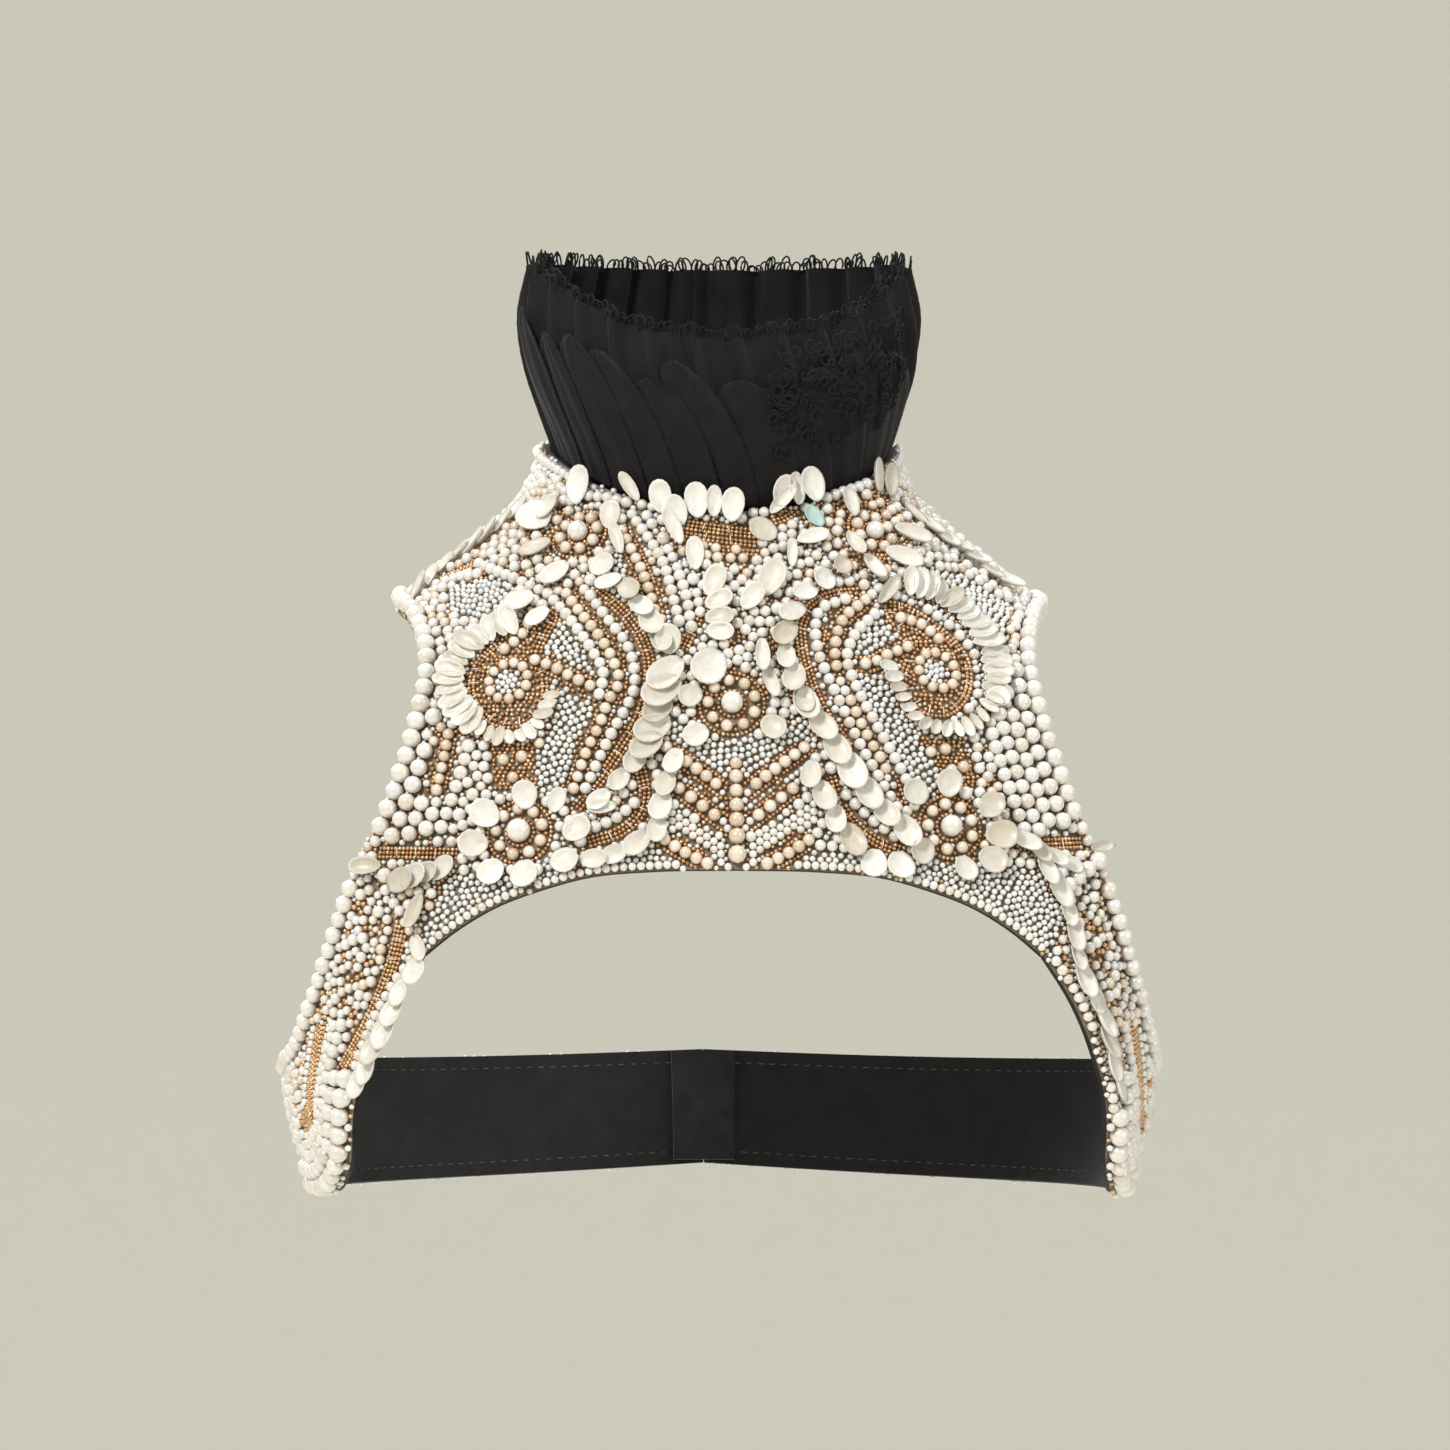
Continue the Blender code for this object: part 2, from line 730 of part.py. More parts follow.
def strip_mesh(name, outer, inner):
    """A closed strip from its outer and inner rows of points."""
    rows, columns = outer.shape[:2]
    points = np.vstack((outer.reshape(-1, 3), inner.reshape(-1, 3)))
    shift = rows * columns
    faces = []
    for row in range(rows - 1):
        for column in range(columns - 1):
            first = row * columns + column
            quad = (first, first + 1, first + columns + 1, first + columns)
            faces += [quad[:3], (quad[0], quad[2], quad[3])]
            faces += [tuple(shift + index for index in (quad[0], quad[2], quad[1]))]
            faces += [tuple(shift + index for index in (quad[0], quad[3], quad[2]))]
    rim = list(range(columns))
    rim += [row * columns + columns - 1 for row in range(1, rows)]
    rim += [(rows - 1) * columns + column for column in range(columns - 2, -1, -1)]
    rim += [row * columns for row in range(rows - 2, 0, -1)]
    for first, following in zip(rim, rim[1:] + rim[:1]):
        faces += [(first, shift + first, shift + following), (first, shift + following, following)]
    return new_mesh(name, points, faces)


def underlap_mesh(name, low, top):
    """A strip behind the centre-back opening, just inside the two back pieces."""
    radius = sections_at([(low + top) / 2])[0][2]
    half = UNDERLAP_WIDTH / 2 / radius
    rows = max(2, round((top - low) / EDGE_STEP))
    outer = []
    inner = []
    for height in np.linspace(low + UNDERLAP_INSET, top - UNDERLAP_INSET, rows + 1):
        places = np.array([(math.pi + turn, height) for turn in np.linspace(-half, half, UNDERLAP_COLUMNS)])
        points = body_points(places)
        normals = normals_at(places)
        outer.append(points - normals * (WALL + UNDERLAP_GAP))
        inner.append(points - normals * (WALL + UNDERLAP_GAP + UNDERLAP_WALL))
    return strip_mesh(name, np.array(outer), np.array(inner))


def build():
    """Build the neckpiece."""
    clear_scene()
    pearl_cloth = new_material("pearl_embroidery", PEARL_CLOTH)
    plain_cloth = new_material("plain_pearl_rows", PLAIN_CLOTH)
    black_cloth = new_material("black_pleated_cloth", BLACK_CLOTH)
    black_tape = new_material("black_tape", BLACK_TAPE)
    new_object("front_yoke", panel_mesh("front_yoke", yoke_outline(), yoke_relief()), pearl_cloth)
    add_pair("side_band", panel_mesh("side_band", side_band_outline(), side_band_relief()), pearl_cloth)
    add_pair("back_yoke", panel_mesh("back_yoke", back_yoke_outline(), None, BACK_GRID), plain_cloth)
    add_pair("back_band", panel_mesh("back_band", back_band_outline(), None, BACK_GRID), plain_cloth)
    new_object("pleated_collar", collar_mesh("pleated_collar"), black_cloth)
    yoke_low = BACK_HEM[-1].height
    yoke_top = NECKLINE[-1].height - COLLAR_TUCK
    new_object("yoke_underlap", underlap_mesh("yoke_underlap", yoke_low, yoke_top), black_tape)
    band_low = BAND_LOW[-1].height
    band_top = BAND_TOP[-1].height
    new_object("band_underlap", underlap_mesh("band_underlap", band_low, band_top), black_tape)


build()
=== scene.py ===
"""Looks of the beaded halter neckpiece: cloth shells, pleated collar, pearls, beads and petals.

Sizes and places are millimetres and degrees unless a name says otherwise.
A place on the cloth is (angle round the figure in radians, height). Front spots are as seen from the front.
"""
from collections import defaultdict, namedtuple
import itertools
import math
import random

import bmesh
import bpy
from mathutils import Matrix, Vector
from mathutils.geometry import delaunay_2d_cdt
import numpy as np


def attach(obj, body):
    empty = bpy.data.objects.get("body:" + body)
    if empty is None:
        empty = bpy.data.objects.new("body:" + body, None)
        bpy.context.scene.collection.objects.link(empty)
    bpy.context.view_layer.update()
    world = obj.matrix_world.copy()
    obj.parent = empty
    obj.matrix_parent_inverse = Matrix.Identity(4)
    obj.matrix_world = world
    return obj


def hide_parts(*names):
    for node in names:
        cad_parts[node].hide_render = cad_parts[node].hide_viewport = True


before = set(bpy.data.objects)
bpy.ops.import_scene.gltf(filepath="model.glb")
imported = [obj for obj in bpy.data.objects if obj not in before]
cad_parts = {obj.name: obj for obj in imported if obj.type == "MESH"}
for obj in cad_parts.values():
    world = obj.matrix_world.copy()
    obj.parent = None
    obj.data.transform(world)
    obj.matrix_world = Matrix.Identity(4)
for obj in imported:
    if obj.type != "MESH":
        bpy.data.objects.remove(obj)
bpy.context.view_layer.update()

MM = 0.001
SEED = 11
BODY = "root"

# Steps of the curves and the slopes worked out from them
TURN_STEP = 0.001
LIFT_STEP = 0.05
FINE_POINTS = 12
ROUND_POINTS = 60
SEAM_POINTS = 4
GAP_BLOCK = 64
CUT_ROWS = 24
CUT_POINTS = 200

# Cloth, as in the solids
WALL = 2.0
SEAM_GAP = 0.3
CLOTH_GRID = 4.5
CLOTH_GRID_CLEAR = 0.55
CLOTH_SINK = 0.15
LINING_SINK = 0.1
RIPPLE_DEPTH = 0.12
RIPPLE_WAVES = ((0.19, 0.0, 0.11), (0.0, -0.13, 0.17))
EDGE_STEP = 4.0
SHARP_ANGLE = 50
CUT_TOLERANCE = 0.00001


def rows_of(columns, *rows):
    """A short table with named columns."""
    Row = namedtuple("Row", columns)
    return tuple(Row(*row) for row in rows)


# Level sections of the figure from the collar down to the ribs. Power is how square a section is.
SECTIONS = rows_of(
    "height half_width front_depth back_depth power",
    (44, 60.0, 50.0, 58.0, 2.00),
    (24, 60.6, 51.0, 59.0, 2.00),
    (10, 63.0, 53.0, 62.0, 2.00),
    (0, 69.5, 56.5, 67.0, 1.95),
    (-10, 81.0, 62.0, 74.0, 1.88),
    (-22, 96.0, 68.5, 82.0, 1.80),
    (-34, 110.5, 75.0, 90.0, 1.76),
    (-48, 126.0, 80.5, 96.0, 1.80),
    (-66, 140.0, 86.0, 101.0, 1.92),
    (-88, 147.5, 91.0, 105.0, 2.10),
    (-112, 149.5, 96.5, 107.0, 2.25),
    (-132, 149.3, 101.5, 107.0, 2.30),
    (-156, 148.2, 109.0, 105.0, 2.30),
    (-186, 147.4, 116.0, 100.0, 2.30),
    (-204, 146.4, 118.5, 97.0, 2.30),
    (-222, 141.5, 118.5, 95.0, 2.30),
    (-244, 132.0, 115.0, 93.0, 2.30),
)

# A spot is seen from the front, and a round edge's angle runs in degrees from the front
SPOT = "across height"
ROUND_EDGE = "angle height"
NECKLINE_TOP = 22.0
SHOULDER_TIP = -34.0
ARMHOLE = rows_of(
    SPOT,
    (110.5, SHOULDER_TIP), (107.0, -42.0), (104.0, -54.0), (105.0, -66.0), (108.5, -80.0), (113.5, -96.0),
    (119.0, -111.0), (125.0, -122.0),
)
HEM = rows_of(
    SPOT,
    (0.0, -128.0), (28.0, -128.5), (50.0, -130.5), (65.0, -134.5), (80.0, -140.0), (93.0, -147.5),
    (104.5, -156.5),
)
NECKLINE = rows_of(
    ROUND_EDGE,
    (0, -5.0), (25, -2.0), (50, 6.5), (72, 16.0), (90, NECKLINE_TOP), (130, 26.0), (180, 27.0),
)
BACK_HEM = rows_of(ROUND_EDGE, (90, SHOULDER_TIP), (106, -35.5), (125, -42.0), (150, -50.0), (180, -54.0))
STRAP_TOP = rows_of(SPOT, (125.0, -122.0), (132.0, -142.0), (138.5, -164.0), (143.5, -180.0))
STRAP_LOW = rows_of(
    SPOT,
    (104.5, -156.5), (115.0, -172.0), (123.0, -190.0), (127.5, -209.0), (128.0, -225.0),
)
(STRAP_CORNER,) = rows_of(ROUND_EDGE, (72, -233.5))
SIDE_TOP = -189.0
SIDE_LOW = -234.5
BAND_TOP = rows_of(ROUND_EDGE, (90, SIDE_TOP), (135, -187.0), (180, -184.0))
BAND_LOW = rows_of(ROUND_EDGE, (90, SIDE_LOW), (135, -229.0), (180, -224.0))

# The pleated collar
COLLAR_TUCK = 9.0
COLLAR_ROWS = rows_of(
    "share flare pleat",
    (0.00, 0.0, 2.2),
    (0.20, 4.6, 3.0),
    (0.44, 9.6, 3.8),
    (0.72, 11.4, 4.6),
    (1.00, 8.6, 5.2),
)
COLLAR_TOP = rows_of(ROUND_EDGE, (0, 54.0), (35, 60.0), (65, 75.0), (90, 85.0), (130, 89.0), (180, 90.0))
COLLAR_WALL = 0.9
PLEATS = 26
POINTS_PER_PLEAT = 20
COLLAR_LEVELS = 26
PLEAT_SKEW = 0.12
PLEAT_LEAN = 0.9

# Underlaps behind the centre-back opening
UNDERLAP_WIDTH = 22.0
UNDERLAP_WALL = 1.2
UNDERLAP_GAP = 0.7
UNDERLAP_INSET = 0.8
UNDERLAP_COLUMNS = 7

# Looks of the collar. Ripple and crease are a depth, then how fast it waves across, up and round the neck.
COLLAR_CRUMPLE = 0.5
CRUMPLE_TURNS = (5, 17)
CRUMPLE_RISE = 9
COLLAR_LAP = 0.10
COLLAR_UNDER = 2.6
FOLD_TURNS = range(-64, 68, 13)
FOLD_LEAN = -15.0
FOLD_WIDTH = 19.0
FOLD_TOP = (0.66, 0.84)
FOLD_LEANS = (0.8, 1.3)
FOLD_LEAN_POWER = 1.4
FOLD_WIDTHS = (0.9, 1.12)
FOLD_FOOT = 0.02
FOLD_ROUND = 0.60
FOLD_TIP = 0.015
FOLD_TOOTH = 0.045
FOLD_TOOTH_POWER = 8
FOLD_BOW = 1.5
FOLD_BOW_TURN = 1.2
FOLD_BOW_FOOT = 0.25
FOLD_RIPPLE = (0.5, 3.1, 5.0, 40)
FOLD_CREASE = (0.22, 9.0, 2.0, 70)
FOLD_STEP = 0.9
FOLD_WALL = 0.5
FOLD_ROWS = 44
FOLD_COLUMNS = 19
CURLS = 150
CURL_TURNS = (12, 62)
CURL_SHARES = (0.30, 0.92)
CURL_RADIUS = (1.2, 2.6)
CURL_LIFT = 2.6
CURL_SWEEP = (1.3, 1.85)
CURL_CLOSE = (0.5, 1.1)
CURL_STEPS = 12
PICOTS = 230
PICOT_HEIGHT = (3.0, 6.0)
PICOT_WIDTH = (2.0, 3.4)
PICOT_LEAN = 0.35
PICOT_TIP = (-1.2, 1.6)
PICOT_SWEEP = (-0.25, 1.25)
PICOT_ROOT = 1.2
PICOT_STEPS = 11
CORD_RADIUS = 0.35
CORD_SIDES = 5
CORD_ASIDE = (0.3, 0.2, 1.0)

# Beadwork
BALL_FIRST_RING = 0.75
BALL_OPEN_END = 0.5
PETAL_WALL = 0.05
PETAL_SIDES = 16
PETAL_RINGS = ((0.45, -0.040), (0.82, 0.010), (1.0, 0.085))
PETAL_MIDDLE = -0.05
PETAL_ROOT = 0.86
PETAL_SWELL = 0.22
PETAL_CREASE = 0.05
PETAL_CREASE_WIDTH = 0.08
PETAL_CREASE_END = 1.1
CELL = 8.0
NEIGHBOURS = tuple(itertools.product((-1, 0, 1), repeat=3))
SLACK = 0.93
FILL_SLACK = 0.95
RING_SLACK = 0.86
RING_START = 0.3
STRING_STEP = 1.5
STRING_PITCH = 1.02
BEAD_JITTER = (1.0, 1.1)
GOLD_SIZE = 4.0
GOLD_PITCH = 1.08
GOLD_BED = 0.35
GOLD_BED_ROW = 0.85
BAND_ROW = 0.97
BAND_PITCH = 0.98
THREAD_SIZE = 0.5
THREAD_REACH = 1.6
THREAD_STRAY = 15
PETAL_STRAY = 16
PETAL_JITTER = (0.84, 1.12)
PETAL_TILT = (8, 19)
PETAL_HALF = 0.26
PETAL_CLEAR = 0.2
PETAL_OVERLAP = 0.55
BEAD_TOP = 1.65
PETAL_SEAT = 2.8
PETAL_ROLL = 0.16
PETAL_ROLL_SPREAD = 97
PETAL_BACK = 0.42
BRONZE = "bronze_beads"
BRONZE_SIZE = 1.55
THREAD_PITCH = 7.5
LINING_PITCH = 4.2
LINING_INSET = 4.5
LINING_THREAD = 0.5
LINING_LONG = 5.0
LINING_STRAY = 0.12
PetalShape = namedtuple("PetalShape", "width room")
ROUND = "round_petals"
OVAL = "oval_petals"
LONG = "long_petals"
NARROW = "narrow_petals"
AQUA = "aqua_petal"
PETAL_SHAPES = {
    ROUND: PetalShape(0.90, 0.17),
    OVAL: PetalShape(0.68, 0.14),
    LONG: PetalShape(0.52, 0.12),
    NARROW: PetalShape(0.38, 0.10),
    AQUA: PetalShape(0.80, 0.20),
}
PETAL_STACK = 0.7
NECK_PETAL_LIFT = 2.6
NECK_PETAL_TILT = 24
STITCH_HEIGHT = 1.7
FIELD_TOP = -52.0
SIDES = ("left", "right")

# The studio, in metres: a round floor that curves up into a wall
STAGE_FLOOR = -1.4
STAGE_TURNS = 72
STAGE_BEND = 2.0
STAGE_FLAT = 7.5
STAGE_FLOOR_RINGS = ((2.0, 0.0), (5.0, 0.0), (STAGE_FLAT, 0.0))
STAGE_WALL_RINGS = ((STAGE_FLAT + STAGE_BEND, 3.4), (STAGE_FLAT + STAGE_BEND, 4.8))
STAGE_BEND_TURNS = np.linspace(0.15, math.pi / 2, 12)
STAGE_COLOUR = (0.86, 0.845, 0.75)
WORLD_COLOUR = (0.97, 0.98, 1.0, 1)
WORLD_LIGHT = 0.74
LIGHT_TARGET = (0, 0, -0.07)
LIGHTS = rows_of(
    "name location size watts colour",
    ("key", (-1.3, -2.0, 1.25), 0.55, 52, (1.0, 0.99, 0.978)),
    ("fill", (1.9, -1.7, 0.35), 1.6, 12, (0.96, 0.98, 1.0)),
    ("top", (0.1, 0.1, 1.9), 1.2, 16, (1, 1, 1)),
    ("back", (-0.6, 2.2, 0.9), 1.4, 16, (1, 1, 1)),
)

# Camera: the photograph's station, in metres and degrees, with the neckpiece filling the frame
CAMERA_DISTANCE = 3.3
CAMERA_TURN = -3.4
CAMERA_HEIGHT = -0.260
CAMERA_AIM = (0.002, 0.0, -0.074)
CAMERA_LENS = 237.6
SENSOR = 36.0
CAMERA_END = 100


def smooth_read(places, values, wanted):
    """Read smooth curves through rows: places rise, and values has a column for each curve."""
    wanted = np.clip(wanted, places[0], places[-1])
    slopes = np.gradient(values, places, axis=0)
    row = np.clip(np.searchsorted(places, wanted, side="right") - 1, 0, len(places) - 2)
    span = (places[row + 1] - places[row])[:, None]
    part = ((wanted - places[row]) / span[:, 0])[:, None]
    start = (1 + 2 * part) * (1 - part) ** 2 * values[row]
    end = part ** 2 * (3 - 2 * part) * values[row + 1]
    lean_start = part * (1 - part) ** 2 * span * slopes[row]
    lean_end = part ** 2 * (part - 1) * span * slopes[row + 1]
    return start + end + lean_start + lean_end


def sections_at(heights):
    """The figure's sections at any heights, as rows of half width, depths and power."""
    table = np.array(SECTIONS[::-1])
    return smooth_read(table[:, 0], table[:, 1:], np.asarray(heights, dtype=float))


def body_points(places):
    """Points of the figure at rows of (angle in radians, height)."""
    places = np.atleast_2d(places)
    angle = places[:, 0]
    half_width, front, back, power = sections_at(places[:, 1]).T
    depth = np.where(np.cos(angle) >= 0, front, back)
    across = (np.abs(np.sin(angle)) / half_width) ** power
    along = (np.abs(np.cos(angle)) / depth) ** power
    reach = (across + along) ** (-1 / power)
    return np.column_stack((reach * np.sin(angle), -reach * np.cos(angle), places[:, 1]))


def slopes_at(places):
    """How the figure's points move with the angle and with the height."""
    slopes = []
    for step in (np.array((TURN_STEP, 0.0)), np.array((0.0, LIFT_STEP))):
        slopes.append((body_points(places + step) - body_points(places - step)) / (2 * step.sum()))
    return slopes


def unit(vectors):
    """Vectors of length one."""
    return vectors / np.linalg.norm(vectors, axis=1)[:, None]


def frames_at(places):
    """Points, level directions, upward directions and outward normals of the cloth."""
    by_angle, by_height = slopes_at(places)
    level = unit(by_angle)
    out = unit(np.cross(by_angle, by_height))
    return body_points(places), level, np.cross(out, level), out


def moved(places, rights, ups):
    """Places moved right and up along the cloth, in millimetres."""
    places = np.atleast_2d(places).astype(float)
    by_angle, by_height = slopes_at(places)
    _, level, rise, _ = frames_at(places)
    rights = np.broadcast_to(rights, len(places))
    ups = np.broadcast_to(ups, len(places))
    lift = ups / np.einsum("ij,ij->i", by_height, rise)
    side = rights - lift * np.einsum("ij,ij->i", by_height, level)
    turn = side / np.linalg.norm(by_angle, axis=1)
    return places + np.column_stack((turn, lift))


def front_place(across, height):
    """The place on the front of the figure that shows at this spot of the front view."""
    half_width, front, _, power = sections_at([height])[0]
    share = min(abs(across) / half_width, 1.0)
    depth = front * (1 - share ** power) ** (1 / power)
    return np.array((math.atan2(across, depth), height))


def front_places(rows):
    """Places for a table of front spots."""
    return np.array([front_place(row[0], row[1]) for row in rows])


def round_height(rows, angles):
    """Heights of an edge that runs round the figure, at angles in radians."""
    table = np.array(rows, dtype=float)
    turns = np.degrees(np.abs(np.asarray(angles, dtype=float)))
    return smooth_read(table[:, 0], table[:, 1:], turns)[:, 0]


def edge_lengths(places):
    """Length along the cloth from the first place to each place."""
    steps = np.linalg.norm(np.diff(body_points(places), axis=0), axis=1)
    return np.concatenate(((0.0,), np.cumsum(steps)))


def resampled(places, step):
    """A smooth run of places through the given ones, about one step apart."""
    places = np.asarray(places, dtype=float)
    lengths = edge_lengths(places)
    fine = smooth_read(lengths, places, np.linspace(0, lengths[-1], FINE_POINTS * len(places)))
    lengths = edge_lengths(fine)
    count = max(1, round(lengths[-1] / step))
    wanted = np.linspace(0, lengths[-1], count + 1)
    return np.column_stack([np.interp(wanted, lengths, fine[:, column]) for column in (0, 1)])


def round_edge(rows, start, end, step=EDGE_STEP):
    """Places along an edge that runs round the figure, between two angles in degrees."""
    angles = np.radians(np.linspace(start, end, ROUND_POINTS))
    return resampled(np.column_stack((angles, round_height(rows, angles))), step)


def inward(places, distance):
    """A run of places moved to the left of its direction, by a distance along the cloth."""
    points, level, rise, out = frames_at(places)
    across = unit(np.cross(out, np.gradient(points, axis=0)))
    rights = np.einsum("ij,ij->i", across, level) * distance
    ups = np.einsum("ij,ij->i", across, rise) * distance
    return moved(places, rights, ups)


def joined(*runs):
    """One closed outline from runs that follow on from each other."""
    outline = []
    for run in runs:
        outline.extend(np.asarray(run)[:-1])
    return np.array(outline)


def vertical_edge(angle, start, end, column, sign):
    """A seam edge at one angle, set back by half the seam gap. The column picks width or back depth."""
    count = max(1, round(abs(end - start) / EDGE_STEP))
    heights = np.linspace(start, end, count + 1)
    gaps = SEAM_GAP / 2 / sections_at(heights)[:, column]
    return np.column_stack((angle + sign * gaps, heights))


def corner_seam(shift):
    """The seam between the yoke and the strap, from the hem to the armhole."""
    ends = np.array((front_place(*HEM[-1]), front_place(*ARMHOLE[-1])))
    run = resampled(np.linspace(ends[0], ends[1], SEAM_POINTS), EDGE_STEP)
    return inward(run, shift)


def mirrored(places):
    """The same run on the other side, in the opposite order."""
    return np.asarray(places)[::-1] * np.array((-1.0, 1.0))


def yoke_outline():
    """The front yoke, anticlockwise as seen from outside."""
    side = math.radians(90)
    hem = resampled(front_places(HEM), EDGE_STEP)
    seam = corner_seam(SEAM_GAP / 2)
    armhole = resampled(front_places(ARMHOLE), EDGE_STEP)[::-1]
    ridge = vertical_edge(side, SHOULDER_TIP, NECKLINE_TOP, 0, -1)
    neck = round_edge(NECKLINE, 90, 0)
    hem[-1] = seam[0]
    armhole[0] = seam[-1]
    armhole[-1] = ridge[0]
    neck[0] = ridge[-1]
    half = (hem, seam, armhole, ridge, neck)
    other = tuple(mirrored(run) for run in reversed(half))
    return joined(*half, *other)


def strap_edges(step=EDGE_STEP):
    """Top and low edges of the side band, from the yoke to the side seam."""
    side = math.radians(90)
    near_low = (math.radians(STRAP_CORNER.angle), STRAP_CORNER.height)
    top = resampled(np.vstack((front_places(STRAP_TOP), (side, SIDE_TOP))), step)
    low = resampled(np.vstack((front_places(STRAP_LOW), near_low, (side, SIDE_LOW))), step)
    return top, low


def side_band_outline():
    """The left side band, anticlockwise as seen from outside."""
    top, low = strap_edges()
    seam = corner_seam(-SEAM_GAP / 2)[::-1]
    side = vertical_edge(math.radians(90), SIDE_LOW, SIDE_TOP, 0, -1)
    top = top[::-1]
    top[0] = side[-1]
    top[-1] = seam[0]
    low[0] = seam[-1]
    low[-1] = side[0]
    return joined(seam, low, side, top)


def back_outline(top_rows, low_rows):
    """A left back piece between two round edges, from the side seam to the centre back."""
    top = round_edge(top_rows, 180, 90)
    low = round_edge(low_rows, 90, 180)
    side_top, back_top = round_height(top_rows, np.radians((90, 180)))
    side_low, back_low = round_height(low_rows, np.radians((90, 180)))
    side = vertical_edge(math.radians(90), side_top, side_low, 0, 1)
    back = vertical_edge(math.radians(180), back_low, back_top, 2, -1)
    low[0] = side[-1]
    low[-1] = back[0]
    top[0] = back[-1]
    top[-1] = side[0]
    return joined(side, low, back, top)


def flat_place(places):
    """Places as a flat drawing, for cutting them into triangles."""
    places = np.atleast_2d(places)
    table = sections_at(places[:, 1])
    return np.column_stack((places[:, 0] * (table[:, 0] + table[:, 1]) / 2, places[:, 1]))


def unflat_place(flat):
    """Places from points of the flat drawing."""
    table = sections_at(flat[:, 1])
    return np.column_stack((flat[:, 0] / ((table[:, 0] + table[:, 1]) / 2), flat[:, 1]))


def inside(points, outline):
    """Which flat points lie inside a flat outline."""
    result = np.zeros(len(points), dtype=bool)
    for start, end in zip(outline, np.roll(outline, -1, axis=0)):
        spans = (start[1] > points[:, 1]) != (end[1] > points[:, 1])
        rise = end[1] - start[1]
        if rise == 0:
            continue
        crossing = start[0] + (points[:, 1] - start[1]) * (end[0] - start[0]) / rise
        result ^= spans & (points[:, 0] < crossing)
    return result


def nearest_gap(points, others):
    """Distance from each point to the nearest of the others."""
    best = np.full(len(points), np.inf)
    for start in range(0, len(others), GAP_BLOCK):
        block = others[start:start + GAP_BLOCK]
        gaps = np.linalg.norm(points[:, None, :] - block[None, :, :], axis=2).min(axis=1)
        best = np.minimum(best, gaps)
    return best


def grid_inside(outline, spacing):
    """Grid places inside an outline, clear of its edge."""
    flat = flat_place(outline)
    low = flat.min(axis=0)
    high = flat.max(axis=0)
    row_step = spacing * math.sqrt(3) / 2
    points = []
    for row in range(int((high[1] - low[1]) / row_step) + 1):
        shift = spacing / 2 * (row % 2)
        for column in range(int((high[0] - low[0]) / spacing) + 1):
            points.append((low[0] + shift + column * spacing, low[1] + row * row_step))
    points = np.array(points)
    places = unflat_place(points[inside(points, flat)])
    return places[nearest_gap(body_points(places), body_points(outline)) > CLOTH_GRID_CLEAR * spacing]


def triangles(places, edge_count):
    """Triangles between places, whose first edge_count ones are the outline."""
    flat = [Vector(point) for point in flat_place(places)]
    edges = [(index, (index + 1) % edge_count) for index in range(edge_count)]
    result = delaunay_2d_cdt(flat, edges, [], 1, CUT_TOLERANCE)
    source = [origin[0] for origin in result[3]]
    return [[source[index] for index in face] for face in result[2]]


def cloth_ripple(points):
    """Small unevenness of the ground cloth, in millimetres."""
    waves = np.sin(points @ np.array(RIPPLE_WAVES).T)
    return RIPPLE_DEPTH * waves[:, 0] * waves[:, 1]


def panel_mesh(name, outline):
    """The ground cloth of one panel, as a closed shell."""
    count = len(outline)
    places = np.vstack((outline, grid_inside(outline, CLOTH_GRID)))
    points, _, _, out = frames_at(places)
    ripple = cloth_ripple(points)
    ripple[:count] = 0
    outer = points + out * (ripple - CLOTH_SINK)[:, None]
    inner = points + out * (2 * ripple - WALL + LINING_SINK)[:, None]
    faces = [tuple(face) for face in triangles(places, count)]
    shift = len(places)
    faces += [tuple(shift + index for index in reversed(face)) for face in faces[:]]
    for index in range(count):
        following = (index + 1) % count
        faces.append((index, shift + index, shift + following, following))
    mesh = new_mesh(name, np.vstack((outer, inner)), faces)
    outer_faces = (len(faces) - count) // 2
    mesh.polygons.foreach_set("material_index", [int(index >= outer_faces) for index in range(len(faces))])
    return mesh


def new_mesh(name, points, faces):
    """A smooth mesh in metres from points in millimetres, with its faces turned outward."""
    mesh = bpy.data.meshes.new(name)
    mesh.from_pydata((points * MM).tolist(), [], faces)
    form = bmesh.new()
    form.from_mesh(mesh)
    bmesh.ops.recalc_face_normals(form, faces=form.faces)
    form.to_mesh(mesh)
    form.free()
    mesh.shade_smooth()
    mesh.set_sharp_from_angle(angle=math.radians(SHARP_ANGLE))
    return mesh


def add_piece(name, mesh, material, slot, *nodes):
    """A named piece that rides on the body and stands for its nodes."""
    for item in material if isinstance(material, tuple) else (material,):
        mesh.materials.append(item)
    piece = link(name, mesh)
    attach(piece, BODY)
    if nodes:
        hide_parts(*nodes)
    return piece


def flipped(mesh, name):
    """A mirror image of a mesh."""
    other = mesh.copy()
    other.name = name
    for vertex in other.vertices:
        vertex.co.x = -vertex.co.x
    other.flip_normals()
    return other


def strip_faces(rows, columns):
    """Faces of a closed strip, whose outer rows of points come first."""
    shift = rows * columns
    faces = []
    for row in range(rows - 1):
        for column in range(columns - 1):
            first = row * columns + column
            quad = (first, first + 1, first + columns + 1, first + columns)
            faces += [quad, tuple(shift + index for index in reversed(quad))]
    rim = list(range(columns))
    rim += [row * columns + columns - 1 for row in range(1, rows)]
    rim += [(rows - 1) * columns + column for column in range(columns - 2, -1, -1)]
    rim += [row * columns for row in range(rows - 2, 0, -1)]
    for first, following in zip(rim, rim[1:] + rim[:1]):
        faces.append((first, shift + first, shift + following, following))
    return faces


def strip_mesh(name, outer, inner):
    """A closed strip from its outer and inner rows of points."""
    points = np.vstack((outer.reshape(-1, 3), inner.reshape(-1, 3)))
    return new_mesh(name, points, strip_faces(*outer.shape[:2]))


